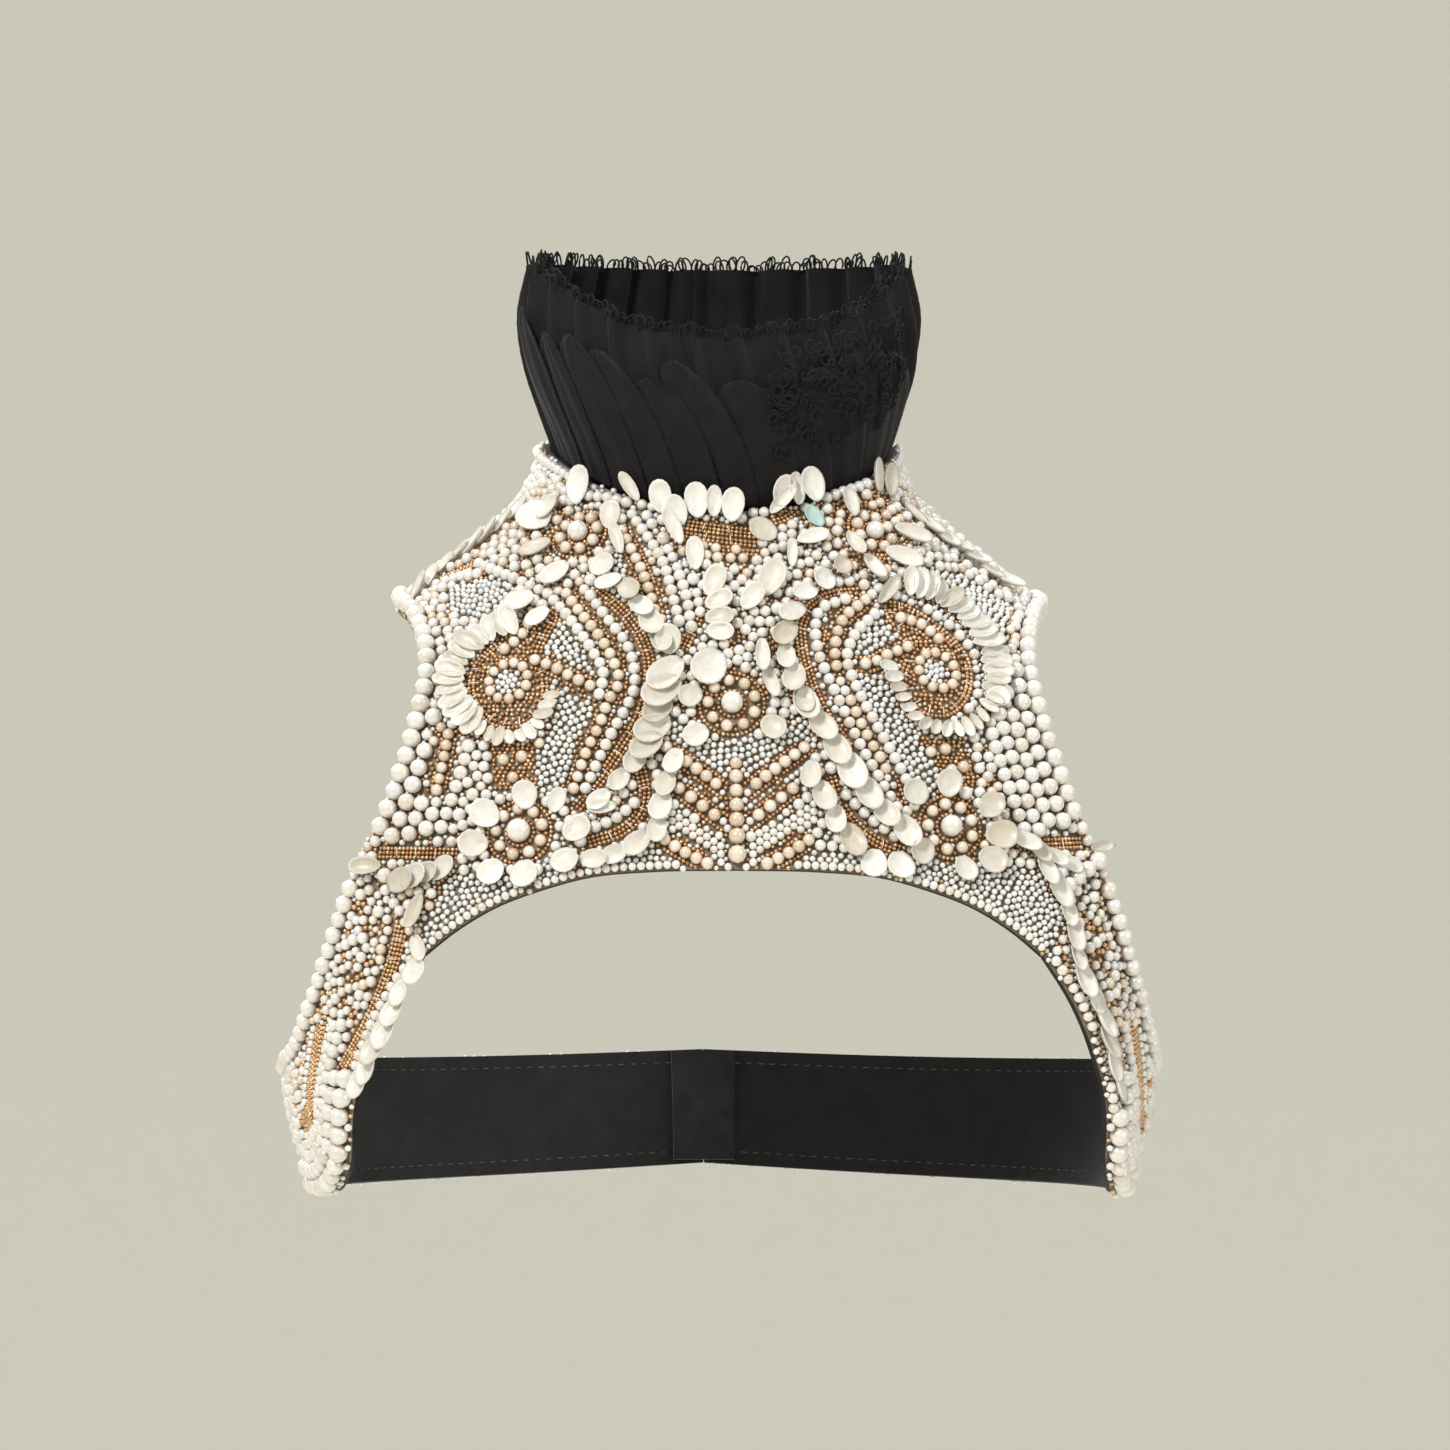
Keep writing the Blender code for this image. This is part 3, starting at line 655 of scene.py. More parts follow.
def pleat_wave(turns):
    """Depth of a soft knife pleat, 0 at its crest and 1 in its trough."""
    turns = turns + PLEAT_SKEW * np.sin(2 * math.pi * turns)
    return 0.5 - 0.5 * np.cos(2 * math.pi * turns)


def collar_outward(angles):
    """Level directions away from the neck."""
    outward = frames_at(np.column_stack((angles, np.full_like(angles, SECTIONS[0].height))))[3]
    outward[:, 2] = 0
    return unit(outward)


def collar_shape(share):
    """Flare and pleat depth of the collar at a share of its height."""
    table = np.array(COLLAR_ROWS)
    return smooth_read(table[:, 0], table[:, 1:], np.array([share]))[0]


def collar_points(angles, share):
    """Outer points of the collar at a share of its height above the neckline; below 0 it is tucked in."""
    necks = round_height(NECKLINE, angles)
    tops = round_height(COLLAR_TOP, angles)
    base = body_points(np.column_stack((angles, necks)))
    outward = collar_outward(angles)
    flare, pleat = collar_shape(max(share, 0.0))
    turns = angles / (2 * math.pi) * PLEATS + PLEAT_LEAN * max(share, 0.0) * np.cos(angles / 2)
    slow = np.sin(CRUMPLE_TURNS[0] * angles + CRUMPLE_RISE * share)
    crumple = COLLAR_CRUMPLE * max(share, 0.0) * slow * np.sin(CRUMPLE_TURNS[1] * angles)
    inset = WALL + SEAM_GAP + pleat * pleat_wave(turns) - crumple
    points = base + outward * (flare - inset)[:, None]
    span = tops - necks if share >= 0 else np.full_like(necks, COLLAR_TUCK)
    points[:, 2] = necks + share * span
    return points, outward


def collar_mesh(name):
    """The pleated collar: one strip round the neck, open at the centre back."""
    gap = SEAM_GAP / sections_at([NECKLINE[-1].height])[0][2]
    end = math.pi - gap
    angles = np.linspace(-end, end + COLLAR_LAP, PLEATS * POINTS_PER_PLEAT + 1)
    under = COLLAR_UNDER * np.clip((angles - end + COLLAR_LAP) / COLLAR_LAP, 0, 1)
    outer = []
    inner = []
    for share in (-1.0, *np.linspace(0, 1, COLLAR_LEVELS)):
        points, outward = collar_points(angles, share)
        outer.append(points - outward * under[:, None])
        inner.append(outer[-1] - outward * COLLAR_WALL)
    return strip_mesh(name, np.array(outer), np.array(inner))


def underlap_mesh(name, low, top):
    """A strip behind the centre-back opening, just inside the two back pieces."""
    half = UNDERLAP_WIDTH / 2 / sections_at([(low + top) / 2])[0][2]
    outer = []
    inner = []
    angles = math.pi + np.linspace(-half, half, UNDERLAP_COLUMNS)
    for height in np.linspace(low + UNDERLAP_INSET, top - UNDERLAP_INSET, round((top - low) / EDGE_STEP)):
        points, _, _, out = frames_at(np.column_stack((angles, np.full(UNDERLAP_COLUMNS, height))))
        outer.append(points - out * (WALL + UNDERLAP_GAP))
        inner.append(points - out * (WALL + UNDERLAP_GAP + UNDERLAP_WALL))
    return strip_mesh(name, np.array(outer), np.array(inner))


# Bead templates: one bead of diameter 1 or one petal of length 1, standing on its own z axis

def ball_template(sides, rings):
    """A round bead of diameter 1 about its centre, as points and faces."""
    points = []
    for ring in range(rings):
        polar = math.pi * (ring + BALL_FIRST_RING) / (rings + BALL_OPEN_END)
        twist = math.pi / sides * (ring % 2)
        for side in range(sides):
            turn = 2 * math.pi * side / sides + twist
            reach = math.sin(polar)
            points.append((reach * math.cos(turn), reach * math.sin(turn), math.cos(polar)))
    points.append((0, 0, 1))
    top = len(points) - 1
    faces = [(top, side, (side + 1) % sides) for side in range(sides)]
    for ring in range(rings - 1):
        for side in range(sides):
            first = ring * sides + side
            second = ring * sides + (side + 1) % sides
            ahead = side if ring % 2 == 0 else (side + 1) % sides
            low = (ring + 1) * sides + ahead
            before = (ring + 1) * sides + (ahead - 1) % sides
            faces += [(first, low, second), (first, before, low)]
    last = (rings - 1) * sides
    faces.append(tuple(last + side for side in range(sides - 1, -1, -1)))
    return np.array(points) / 2, faces


def petal_template(width):
    """A thin cupped petal of length 1 lying from its sewn end at the origin along y."""
    sides = PETAL_SIDES
    points = []
    for thickness in (0.0, -PETAL_WALL):
        for reach, rise in PETAL_RINGS:
            for side in range(sides):
                turn = 2 * math.pi * side / sides
                along = 0.5 + 0.5 * reach * math.cos(turn)
                across = width / 2 * reach * math.sin(turn) * (PETAL_ROOT + PETAL_SWELL * along)
                crease = PETAL_CREASE * math.exp(-(across / PETAL_CREASE_WIDTH) ** 2)
                crease *= PETAL_CREASE_END - along
                points.append((across, along, rise - crease + thickness))
        points.append((0, 0.5, PETAL_MIDDLE + thickness))
    per_side = len(points) // 2
    faces = []
    for base, order in ((0, 1), (per_side, -1)):
        middle = base + per_side - 1
        for side in range(sides):
            following = (side + 1) % sides
            faces.append((middle, base + following, base + side)[::order])
            for ring in range(len(PETAL_RINGS) - 1):
                low = base + ring * sides
                quad = (low + side, low + following, low + sides + following, low + sides + side)
                faces.append(quad[::order])
    rim = (len(PETAL_RINGS) - 1) * sides
    for side in range(sides):
        following = (side + 1) % sides
        faces.append((rim + side, rim + following, per_side + rim + following, per_side + rim + side))
    return np.array(points), faces


Bead = namedtuple("Bead", "place size long turn tilt lift tint")
Kind = namedtuple("Kind", "template material slot sit")
# Odd is rows of (share, kind, size). Fine and level are the spacing of the places, in steps.
Ground = namedtuple("Ground", "kind size slack odd step margin fine level")


class Sewing:
    """Everything that is sewn on: each new bead keeps clear of the earlier ones."""

    def __init__(self, outline, tints=(0.0, 1.0), cells=None):
        self.flat = flat_place(outline)
        self.tints = tints
        self.beads = defaultdict(list)
        self.cells = defaultdict(list) if cells is None else cells
        self.petal_tops = []
        self.under = False
        self.random = random.Random(SEED)

    def near(self, point):
        """The things sewn on in the cells round a point."""
        home = [math.floor(value / CELL) for value in point]
        for step in NEIGHBOURS:
            yield from self.cells.get((home[0] + step[0], home[1] + step[1], home[2] + step[2]), ())

    def clear(self, point, radius, slack):
        """Whether a ball here keeps clear of the others, or under the petals of the beads alone."""
        for other in self.near(point):
            gap = (point[0] - other[0]) ** 2 + (point[1] - other[1]) ** 2 + (point[2] - other[2]) ** 2
            if gap < ((radius + other[3]) * slack) ** 2 and (other[4] or not self.under):
                return False
        return True

    def claim(self, point, radius, solid=True):
        """Note the room that something takes, and whether it is a solid bead."""
        home = tuple(math.floor(value / CELL) for value in point)
        self.cells[home].append((point[0], point[1], point[2], radius, solid))

    def bead(self, kind, place, point, size, slack=SLACK):
        """Sew on one bead if there is room. Point is where it sits on the cloth."""
        if self.clear(point, size / 2, slack):
            self.claim(point, size / 2)
            jitter = self.random.uniform(*BEAD_JITTER)
            tint = self.random.uniform(*self.tints)
            self.beads[kind].append(Bead(tuple(place), size * jitter, 1.0, 0.0, 0.0, None, tint))

    def spot(self, kind, across, height, size):
        """Sew one bead on a front spot."""
        place = front_place(across, height)
        self.bead(kind, place, body_points(place)[0], size)

    def run(self, kind, places, size, slack=SLACK):
        """Sew beads on every place of a run where there is cloth and room."""
        places = places[inside(flat_place(places), self.flat)]
        for place, point in zip(places, body_points(places)):
            self.bead(kind, place, point, size, slack)

    def string(self, kind, spots, size, offset=0.0, pitch=STRING_PITCH):
        """A string of beads through front spots, moved sideways by an offset to its left."""
        run = resampled(front_places(spots), STRING_STEP)
        if offset:
            run = inward(run, offset)
        self.run(kind, resampled(run, size * pitch), size)

    def ring(self, kind, place, radius, size, count):
        """A ring of beads round a place."""
        turns = np.linspace(0, 2 * math.pi, count, endpoint=False) + RING_START
        centre = np.tile(place, (count, 1))
        self.run(kind, moved(centre, radius * np.cos(turns), radius * np.sin(turns)), size, RING_SLACK)

    def bronze_band(self, spots, rows=3):
        """A raised band of small bronze beads, crossed by bright threads."""
        for row in range(rows):
            offset = (row - (rows - 1) / 2) * BRONZE_SIZE * BAND_ROW
            self.string(BRONZE, spots, BRONZE_SIZE, offset, BAND_PITCH)
        self.threads(resampled(front_places(spots), THREAD_PITCH), rows * BRONZE_SIZE)

    def threads(self, run, width):
        """Bright stitches across a band."""
        _, along = run_turns(run)
        for place, turn in list(zip(run, along))[1:-1]:
            turn += math.radians(self.random.uniform(-THREAD_STRAY, THREAD_STRAY)) + math.pi / 2
            tint = self.random.random()
            thread = Bead(tuple(place), THREAD_SIZE, width * THREAD_REACH, turn, 0.0, STITCH_HEIGHT, tint)
            self.beads["stitches"].append(thread)

    def gold_band(self, spots, size=GOLD_SIZE, rows=2):
        """Gold pearls in a bed of bronze beads."""
        self.string("gold_pearls", spots, size, pitch=GOLD_PITCH)
        for side in (-1, 1):
            for row in range(rows):
                offset = size / 2 + (GOLD_BED + GOLD_BED_ROW * row) * BRONZE_SIZE
                self.string(BRONZE, spots, BRONZE_SIZE, side * offset)

    def petals(self, spots, lean, length, pitch, kind):
        """Petals along front spots, each turned by lean degrees from the run's direction."""
        run = resampled(front_places(spots), pitch)
        for place, point, turn in zip(run, *run_turns(run)):
            turn += math.radians(lean + self.random.uniform(-PETAL_STRAY, PETAL_STRAY))
            self.petal(kind, place, point, length * self.random.uniform(*PETAL_JITTER), turn, stacked=False)

    def single_petal(self, spot, tilt=None, lift=None):
        """One petal from a row of across, height, turn of the tip from level, length and kind."""
        across, height, turn, length, kind = spot
        place = front_place(across, height)
        self.petal(kind, place, body_points(place)[0], length, math.radians(turn), tilt, lift)

    def petal(self, kind, place, point, length, turn, tilt=None, lift=None, stacked=True):
        """One petal with its middle at a place, its tip in the direction of turn."""
        tilt = self.random.uniform(*PETAL_TILT) if tilt is None else tilt
        reach = PETAL_HALF * length * np.array((-1, 1))
        ends = moved(np.tile(place, (2, 1)), reach * math.cos(turn), reach * math.sin(turn))
        spots = (point, *body_points(ends))
        if lift is None:
            lift = max(PETAL_SEAT, max(self.top_near(spot, PETAL_CLEAR * length) for spot in spots))
        if stacked:
            reach = PETAL_OVERLAP * length
            lift = max([lift] + [top for other, top in self.petal_tops if math.dist(other, point) < reach])
        for spot in spots:
            self.claim(spot, length * PETAL_SHAPES[kind].room, False)
        self.petal_tops.append((point, lift + PETAL_STACK))
        tint = self.random.random()
        self.beads[kind].append(Bead(tuple(place), length, 1.0, turn, math.radians(tilt), lift, tint))

    def top_near(self, point, reach):
        """Height above the cloth of the tallest bead close to a point."""
        beads = [other for other in self.near(point) if other[4]]
        close = [bead for bead in beads if math.dist(point, bead[:3]) < reach + bead[3]]
        return max([0.0] + [BEAD_TOP * bead[3] for bead in close])

    def fill(self, ground, places):
        """Fill a set of candidate places with the beads of a ground."""
        for place, point in zip(places, body_points(places)):
            kind, size = ground.kind, ground.size
            draw = self.random.random()
            for share, *odd in ground.odd:
                if draw < share:
                    kind, size = odd
                    break
                draw -= share
            self.bead(kind, place, point, size, ground.slack)


def run_turns(run):
    """Points of a run, and its direction at each one as a turn from level."""
    points, level, rise, _ = frames_at(run)
    along = unit(np.gradient(points, axis=0))
    return points, np.arctan2(np.einsum("ij,ij->i", along, rise), np.einsum("ij,ij->i", along, level))


def candidates(outline, ground):
    """Shaken rows of places for a ground of beads inside an outline, a margin clear of its edge."""
    flat = flat_place(outline)
    low = flat.min(axis=0)
    high = flat.max(axis=0)
    across = np.arange(low[0], high[0], ground.step * ground.fine)
    heights = np.arange(low[1], high[1], ground.step * ground.level)
    grid = np.array(np.meshgrid(across, heights)).reshape(2, -1).T
    grid += np.random.default_rng(SEED).uniform(-FIELD_SHAKE, FIELD_SHAKE, grid.shape) * ground.step
    places = unflat_place(grid[inside(grid, flat)])
    return places[nearest_gap(body_points(places), body_points(outline)) >= ground.margin]


def in_front_polygon(places, spots):
    """Which places show inside a polygon of front spots."""
    points = body_points(places)
    shown = points[:, 1] < 0
    return shown & inside(points[:, (0, 2)], np.array(spots, dtype=float))


# Where the front's motifs run, as spots of the front view chosen from the photograph
GOLD_BANDS = (
    (
        (-55, -34), (-49, -43), (-44, -50), (-40, -58), (-38.5, -65),
        (-42, -71), (-45, -79), (-49, -87), (-54, -101),
    ),
    ((-36, -12), (-33, -19), (-30, -26), (-27.5, -34), (-26, -40)),
    ((-95, -82), (-97, -92), (-99, -101)),
    ((45, -36), (37, -43), (34, -53), (35, -62), (39, -71), (44, -82), (50, -93), (55, -106)),
    ((-66, -57), (-59, -60), (-54, -63), (-48, -66)),
    ((59, -52), (52, -55), (46, -58), (40, -58)),
    ((-66, -41), (-71, -49), (-76, -53)),
    ((57, -42), (64, -44), (70, -49)),
)
WHITE_STRINGS = (
    (
        (-47, -35), (-41, -44), (-35.5, -52), (-33.3, -60), (-33.6, -68),
        (-37, -75), (-41, -82), (-45, -90), (-50, -101),
    ),
    (
        (38, -36), (29, -40), (27.5, -47), (28.5, -55), (32, -64),
        (37, -75), (42, -86), (48, -97), (54, -107),
    ),
    ((-61, -34), (-57, -39), (-52, -46), (-47, -54), (-43.5, -62), (-45, -69)),
    ((48, -41), (41, -48), (38, -56), (41, -66), (47, -78), (54, -91), (59, -101)),
    ((-31, -9), (-26, -17), (-23, -23), (-20, -35), (-18, -44)),
    ((-27.5, -7), (-22.5, -16), (-19, -24), (-15.5, -35), (-14, -46)),
    ((-83, -22), (-72, -28), (-61, -34)),
    ((-81, -26), (-71, -32), (-63, -38)),
    ((-46, 1), (-40, 0), (-34, -2)),
    ((37, -103), (44, -110), (53, -117)),
    ((33, 0), (40, 3), (47, 6)),
    ((33, -4), (37, -1), (47, 2)),
    ((-47, -114), (-40, -111), (-34, -106)),
)
BRONZE_BANDS = (
    (
        (-45, -33), (-38, -39), (-32, -47), (-28.5, -57), (-29, -67),
        (-32, -77), (-38, -87), (-44, -96), (-53, -107),
    ),
    ((-32, -94), (-30.5, -102), (-32, -109), (-38, -115), (-49, -119)),
    (
        (43, -33), (35, -34), (27, -38), (23, -44), (23, -52),
        (25, -62), (28, -71), (34, -81), (39, -88), (46, -97),
    ),
    ((32, -97), (35, -106), (40, -113), (48, -119), (56, -122)),
    ((-118, -121.5), (-105, -122), (-93, -122.5)),
    ((104, -118.5), (111, -118), (118, -117.5)),
    ((-97, -26), (-91, -24), (-85, -21)),
    ((-12, -43), (-15, -49), (-17, -53)),
    ((15, -8), (18, -7), (21, -5)),
    ((11, -50), (13, -53)),
    ((-1, -49), (3, -49)),
)
NECK_BARS = (
    ((-17, -9.5), (-8, -11), (3, -12.5), (8, -13)),
    ((-16, -12.5), (-8, -14), (3, -15.5), (8, -16)),
)
STRAP_BANDS = (
    ((-110.5, -144), (-113.5, -157), (-118, -170), (-123.5, -182), (-130, -194)),
    ((117, -156), (123, -171), (127.5, -180), (132, -193)),
)

# The fan under the central flower. Each arm runs from its outer end on one side to the middle.
FAN_GOLD = (
    ((23, -87), (11, -96), (3.5, -102)),
    ((19, -101), (10, -108), (3.5, -113)),
    ((24, -118.5), (17, -123), (10, -126.5)),
)
# Plain arms: spots, kind, size and rows of beads
FAN_ARMS = (
    (((24, -93), (11, -102.5), (3, -108)), "silver_seeds", 2.2, 2),
    (((26, -106), (12, -116), (3, -122)), "pearls", 2.7, 3),
)
FAN_GOLD_SIZE = 4.2
# The pearls of the column: height and size
FAN_COLUMN = (
    (-92.5, 4.2), (-97.0, 4.6), (-101.8, 4.8), (-106.7, 4.8), (-111.8, 5.2), (-117.4, 5.8), (-123.6, 6.2),
)

# Petal runs: lean is the petals' turn in degrees from the run's direction
PETAL_RUNS = rows_of(
    "spots lean length pitch kind",
    (((-73, -45), (-82, -48.5), (-89, -55), (-93, -63), (-91.5, -71), (-86, -78)), -82, 11.5, 3.7, LONG),
    (((-86, -79), (-79, -83), (-70, -83), (-64, -77), (-61, -70)), -75, 7.4, 3.6, LONG),
    (((-34, -34), (-29, -42), (-24, -51)), 6, 12.5, 7.0, OVAL),
    (((-22, -62), (-24, -70), (-26, -78), (-29, -87)), -36, 14.5, 7.4, OVAL),
    (((-33, -91), (-39, -99), (-45, -105)), 0, 11.5, 7.8, OVAL),
    (((-20.5, -92), (-23, -99), (-25, -106), (-26, -114), (-33, -120), (-40, -123.5)), 8, 11.5, 7.4, OVAL),
    (((-102, -31), (-92, -21), (-80, -13), (-69, -4)), 14, 10.5, 6.5, LONG),
    (((60, -31), (68, -33), (76, -38), (83, -46), (88, -56), (88, -67)), 80, 11.0, 3.8, LONG),
    (((87, -70), (79, -79), (70, -80.5), (62, -78), (57, -70), (52, -60)), 76, 7.7, 3.8, LONG),
    (((24, -35), (19, -43), (16.5, -53), (19, -62), (23, -71)), -24, 11.5, 7.6, OVAL),
    (((23, -72), (30, -82), (35, -90), (41, -99), (47, -107), (56, -115)), -12, 14.0, 8.6, OVAL),
    (((25, -96), (29, -104), (33, -111.5), (38, -118)), -22, 12.0, 7.6, OVAL),
    (((63, -4), (74, -13), (84, -20), (95, -28)), -12, 11.5, 6.5, LONG),
    (((-110, -132), (-103, -130), (-97, -128.5)), 8, 11.5, 5.8, OVAL),
    (((96, -118), (104, -122), (112, -125)), -12, 11.5, 7.5, LONG),
    (((-110, -169), (-114, -180), (-118, -188), (-123, -199)), 14, 12.0, 6.4, OVAL),
    (
        ((104, -127), (110, -137), (113, -148), (115, -162), (121, -172), (124, -184), (129, -199)),
        -14, 12.5, 8.0, LONG,
    ),
)

# Single petals: across, height, turn of the tip from level, length and kind
SINGLE_PETALS = (
    (-62.5, -8, 150, 14.0, ROUND),
    (-59, -5, 30, 10.5, ROUND),
    (-63, -18, 215, 11.5, OVAL),
    (-57, -28, 245, 12.5, OVAL),
    (-69, -37.5, 215, 11.0, ROUND),
    (-63.5, -43, 238, 10.0, OVAL),
    (-39, -8.5, 95, 11.0, OVAL),
    (-37, -17, 112, 12.0, NARROW),
    (-43, -25.5, 20, 9.5, ROUND),
    (-40, -31, 215, 10.0, OVAL),
    (-12, -22.5, 94, 12.5, LONG),
    (-6, -32, 70, 12.0, OVAL),
    (-5, -38, 20, 10.5, OVAL),
    (-5, -43.5, 0, 10.5, OVAL),
    (-5, -48.5, 350, 10.0, OVAL),
    (-21.5, -52, 100, 10.5, ROUND),
    (-8, -59.5, 240, 14.0, ROUND),
    (-14.5, -70, 200, 9.0, ROUND),
    (-12.7, -83, 210, 9.5, ROUND),
    (12, -80, 320, 9.5, ROUND),
    (-44, -108, 185, 10.0, LONG),
    (-69.5, -104.5, 95, 10.0, ROUND),
    (-82, -110.5, 150, 11.0, ROUND),
    (-86, -120, 185, 10.5, ROUND),
    (-80.5, -129, 230, 10.0, ROUND),
    (-70, -130, 275, 11.0, ROUND),
    (-57.5, -126, 350, 10.5, ROUND),
    (-53.5, -115.5, 30, 10.5, ROUND),
    (-59.5, -106, 70, 9.0, OVAL),
    (-48, -125.5, 0, 10.0, OVAL),
    (-120.5, -126.5, 185, 12.0, LONG),
    (11, -13.5, 160, 10.5, ROUND),
    (26.5, -15.5, 10, 11.5, LONG),
    (20, -22, 85, 10.0, NARROW),
    (40.5, -3.5, 92, 11.0, LONG),
    (41, -17, 275, 11.8, LONG),
    (47, -25, 280, 13.0, LONG),
    (37, -25, 230, 10.0, OVAL),
    (31, -30, 215, 9.5, ROUND),
    (12.5, -31, 65, 14.0, OVAL),
    (6, -37, 50, 11.0, OVAL),
    (9, -56, 268, 14.0, NARROW),
    (11.5, -65, 285, 13.0, NARROW),
    (60.5, -13, 328, 14.0, LONG),
    (57, -21.5, 330, 14.0, LONG),
    (52, -34, 48, 13.0, NARROW),
    (88, -70, 10, 9.0, ROUND),
    (60, -103, 150, 10.0, ROUND),
    (71, -100, 80, 10.0, ROUND),
    (85, -107, 40, 10.0, ROUND),
    (88, -116.5, 0, 11.5, ROUND),
    (85, -124.5, 335, 10.5, ROUND),
    (76, -127.5, 290, 9.5, ROUND),
    (62, -122, 230, 10.0, ROUND),
    (45.5, -126, 262, 10.5, ROUND),
    (54, -127, 278, 11.0, ROUND),
    (123.5, -119, 5, 10.0, NARROW),
    (-105, -142, 262, 14.0, NARROW),
    (-104.5, -154, 300, 11.0, LONG),
    (-105.5, -162.5, 330, 11.0, ROUND),
)
NECK_PETALS = (
    (-48, 2.5, 91, 14.0, OVAL),
    (-32, 1.5, 128, 12.0, NARROW),
    (-22.2, -2.5, 102, 12.0, OVAL),
    (-17.5, -7.5, 112, 11.5, OVAL),
    (-18.6, -13.5, 118, 14.0, NARROW),
    (-10.8, -4.0, 97, 12.5, OVAL),
    (-5.2, -4.6, 90, 11.0, LONG),
    (0.8, -6.4, 84, 12.0, OVAL),
    (17, -3.5, 42, 13.0, NARROW),
    (17.5, -0.5, 66, 11.5, OVAL),
    (21.5, 0.0, 98, 11.5, LONG),
    (26.5, 1.2, 108, 12.5, OVAL),
    (49.5, 7.5, 92, 12.0, NARROW),
    (53.5, 5.5, 78, 12.0, LONG),
)
AQUA_PETAL = (28, -8.5, 140, 9.0, AQUA)
AQUA_PETAL_TILT = 16

# Rosettes: across, height, centre pearl, ring radius, ring pearls
ROSETTES = (
    (-72, -115.5, 7.8, 8.0, 9),
    (72, -113.5, 7.4, 8.0, 9),
    (-50, -12.5, 6.6, 6.8, 8),
    (49, -11.5, 6.0, 6.6, 8),
    (-1, -72, 7.4, 8.0, 9),
)

# Bronze grounds of the two paisleys, and the patches below them
PAISLEY_LEFT = (
    (-59, -37), (-66, -43), (-74, -47), (-82, -52), (-87, -58), (-89, -66),
    (-86, -75), (-79, -80), (-71, -80), (-65, -76), (-62, -69),
    (-62, -62), (-64, -55), (-61, -48), (-58, -42),
)
PAISLEY_RIGHT = (
    (51, -35), (58, -36), (66, -40), (74, -46), (80, -53), (82, -62),
    (79, -71), (72, -76), (64, -75), (58, -69), (56, -62), (58, -55), (56, -47), (52, -41),
)
PATCH_LEFT = ((-81, -85), (-67, -85), (-66, -101), (-80, -101))
PATCH_RIGHT = ((63, -82), (78, -81), (82, -99), (72, -99))
PATCH_GOLD = (
    (-77, -91), (-71, -90), (-74, -97), (66, -88), (71, -87), (77, -93), (73, -94),
)
PAISLEY_HEARTS = ((-75, -64), (69, -60))

# Where the ground between the motifs is of silver seeds, and where it is of gold pearls
SILVER_GROUNDS = (
    ((-64, -44), (-55, -42), (-48, -52), (-44, -60), (-46, -66), (-56, -61), (-66, -55), (-62, -48)),
    ((-62, -66), (-47, -68), (-47, -80), (-53, -101), (-68, -104), (-67, -92), (-60, -80)),
    ((-93, -28), (-80, -28), (-64, -40), (-78, -42), (-93, -38)),
    ((-42, -24), (-34, -24), (-32, -36), (-40, -33)),
    ((-24, -74), (-11, -84), (11, -84), (24, -74), (28, -86), (3, -98), (-3, -98), (-28, -86)),
    ((58, -44), (48, -41), (40, -47), (38, -58), (50, -56), (57, -52)),
    ((40, -60), (54, -62), (60, -76), (70, -98), (62, -104), (48, -82)),
    ((66, -24), (80, -25), (98, -36), (92, -48), (78, -34)),
    ((-64, -122), (-20, -121), (-22, -134), (-62, -137)),
    ((22, -121), (110, -128), (110, -160), (22, -134)),
    ((-95, -130), (-60, -131), (-60, -150), (-110, -162)),
)
GOLD_GROUNDS = (
    ((-78, -8), (-62, 6), (-54, 0), (-60, -24), (-68, -27), (-84, -18)),
    ((30, -14), (36, 4), (66, 6), (68, -6), (50, -30), (36, -24)),
    ((-17, -16), (10, -18), (9, -23), (-16, -21)),
)

# Rows, rings and columns of beads. Margins and insets are measured from an edge.
# Tint range of the side band's beads: it leaves out the cool start of each ramp, so the band's white pearls
# run tanner, a painted shade for the band's sides, which turn away from the light.
BAND_PAINTED_SHADE_TINTS = (0.35, 1.0)
STRAP_MARGIN = 0.6
STRAP_COLUMNS = (6.4, 5.8)
STRAP_COLUMN_TOP = -197.0
SIDE_COLUMN_TOP = -178.0
SIDE_COLUMN_TURN = 79.0
SILVER_COLUMN = ("silver_seeds", 2.6)
SIDE_COLUMNS = (("pearls", 4.6), ("pearls", 3.8), SILVER_COLUMN, *5 * ((BRONZE, 1.6),), SILVER_COLUMN)
FIELD_SHAKE = 0.12
FINE_STEP = 2.0
ROSETTE_GOLD = 4.1
ROSETTE_HEART = 0.8
ROSETTE_RINGS = (-1.2, 1.0, 2.9)
HEART_SEED = 2.4
# Kind, radius, size and number of beads
HEART_RINGS = (("silver_seeds", 2.2, 2.2, 6), ("silver_seeds", 4.0, 2.1, 11), ("gold_pearls", 6.9, 3.6, 11))
SWEEP_ROWS = 3
SWEEP_THREADS = 4
WHITE_SIZE = 4.0
ARMHOLE_MARGIN = 0.4
FIELD_COLUMN = 1.03
FIELD_PITCH = 1.04
FIELD_STEP_DOWN = 6
FIELD_SIZES = (6.2, 5.7, 5.4, 5.2, 4.8)
NECK_ROW_TURN = 89
STRAP_PITCH = 1.03
COLUMN_PITCH = 0.98
BACK_PEARL = 3.4
BACK_EDGE_PEARL = BACK_PEARL + 0.5
BACK_EDGE_PITCH = BACK_PEARL + 0.6
BACK_EDGE_INSET = 2.4
# Rows along the neckline and the hem, and along both edges of the strap: inset, pitch and size.
# The sign of an inset is its side of the edge. The strap's rows have a slack too.
EDGE_ROWS = ((-2.0, 3.8, 3.6), (1.5, 2.9, 2.8))
STRAP_ROWS = ((-3.4, 5.8, 5.6, SLACK), (2.0, 3.7, 3.6, 0.8))
STRAP_BAND_ROWS = 4
SIDE_SLACK = 0.9

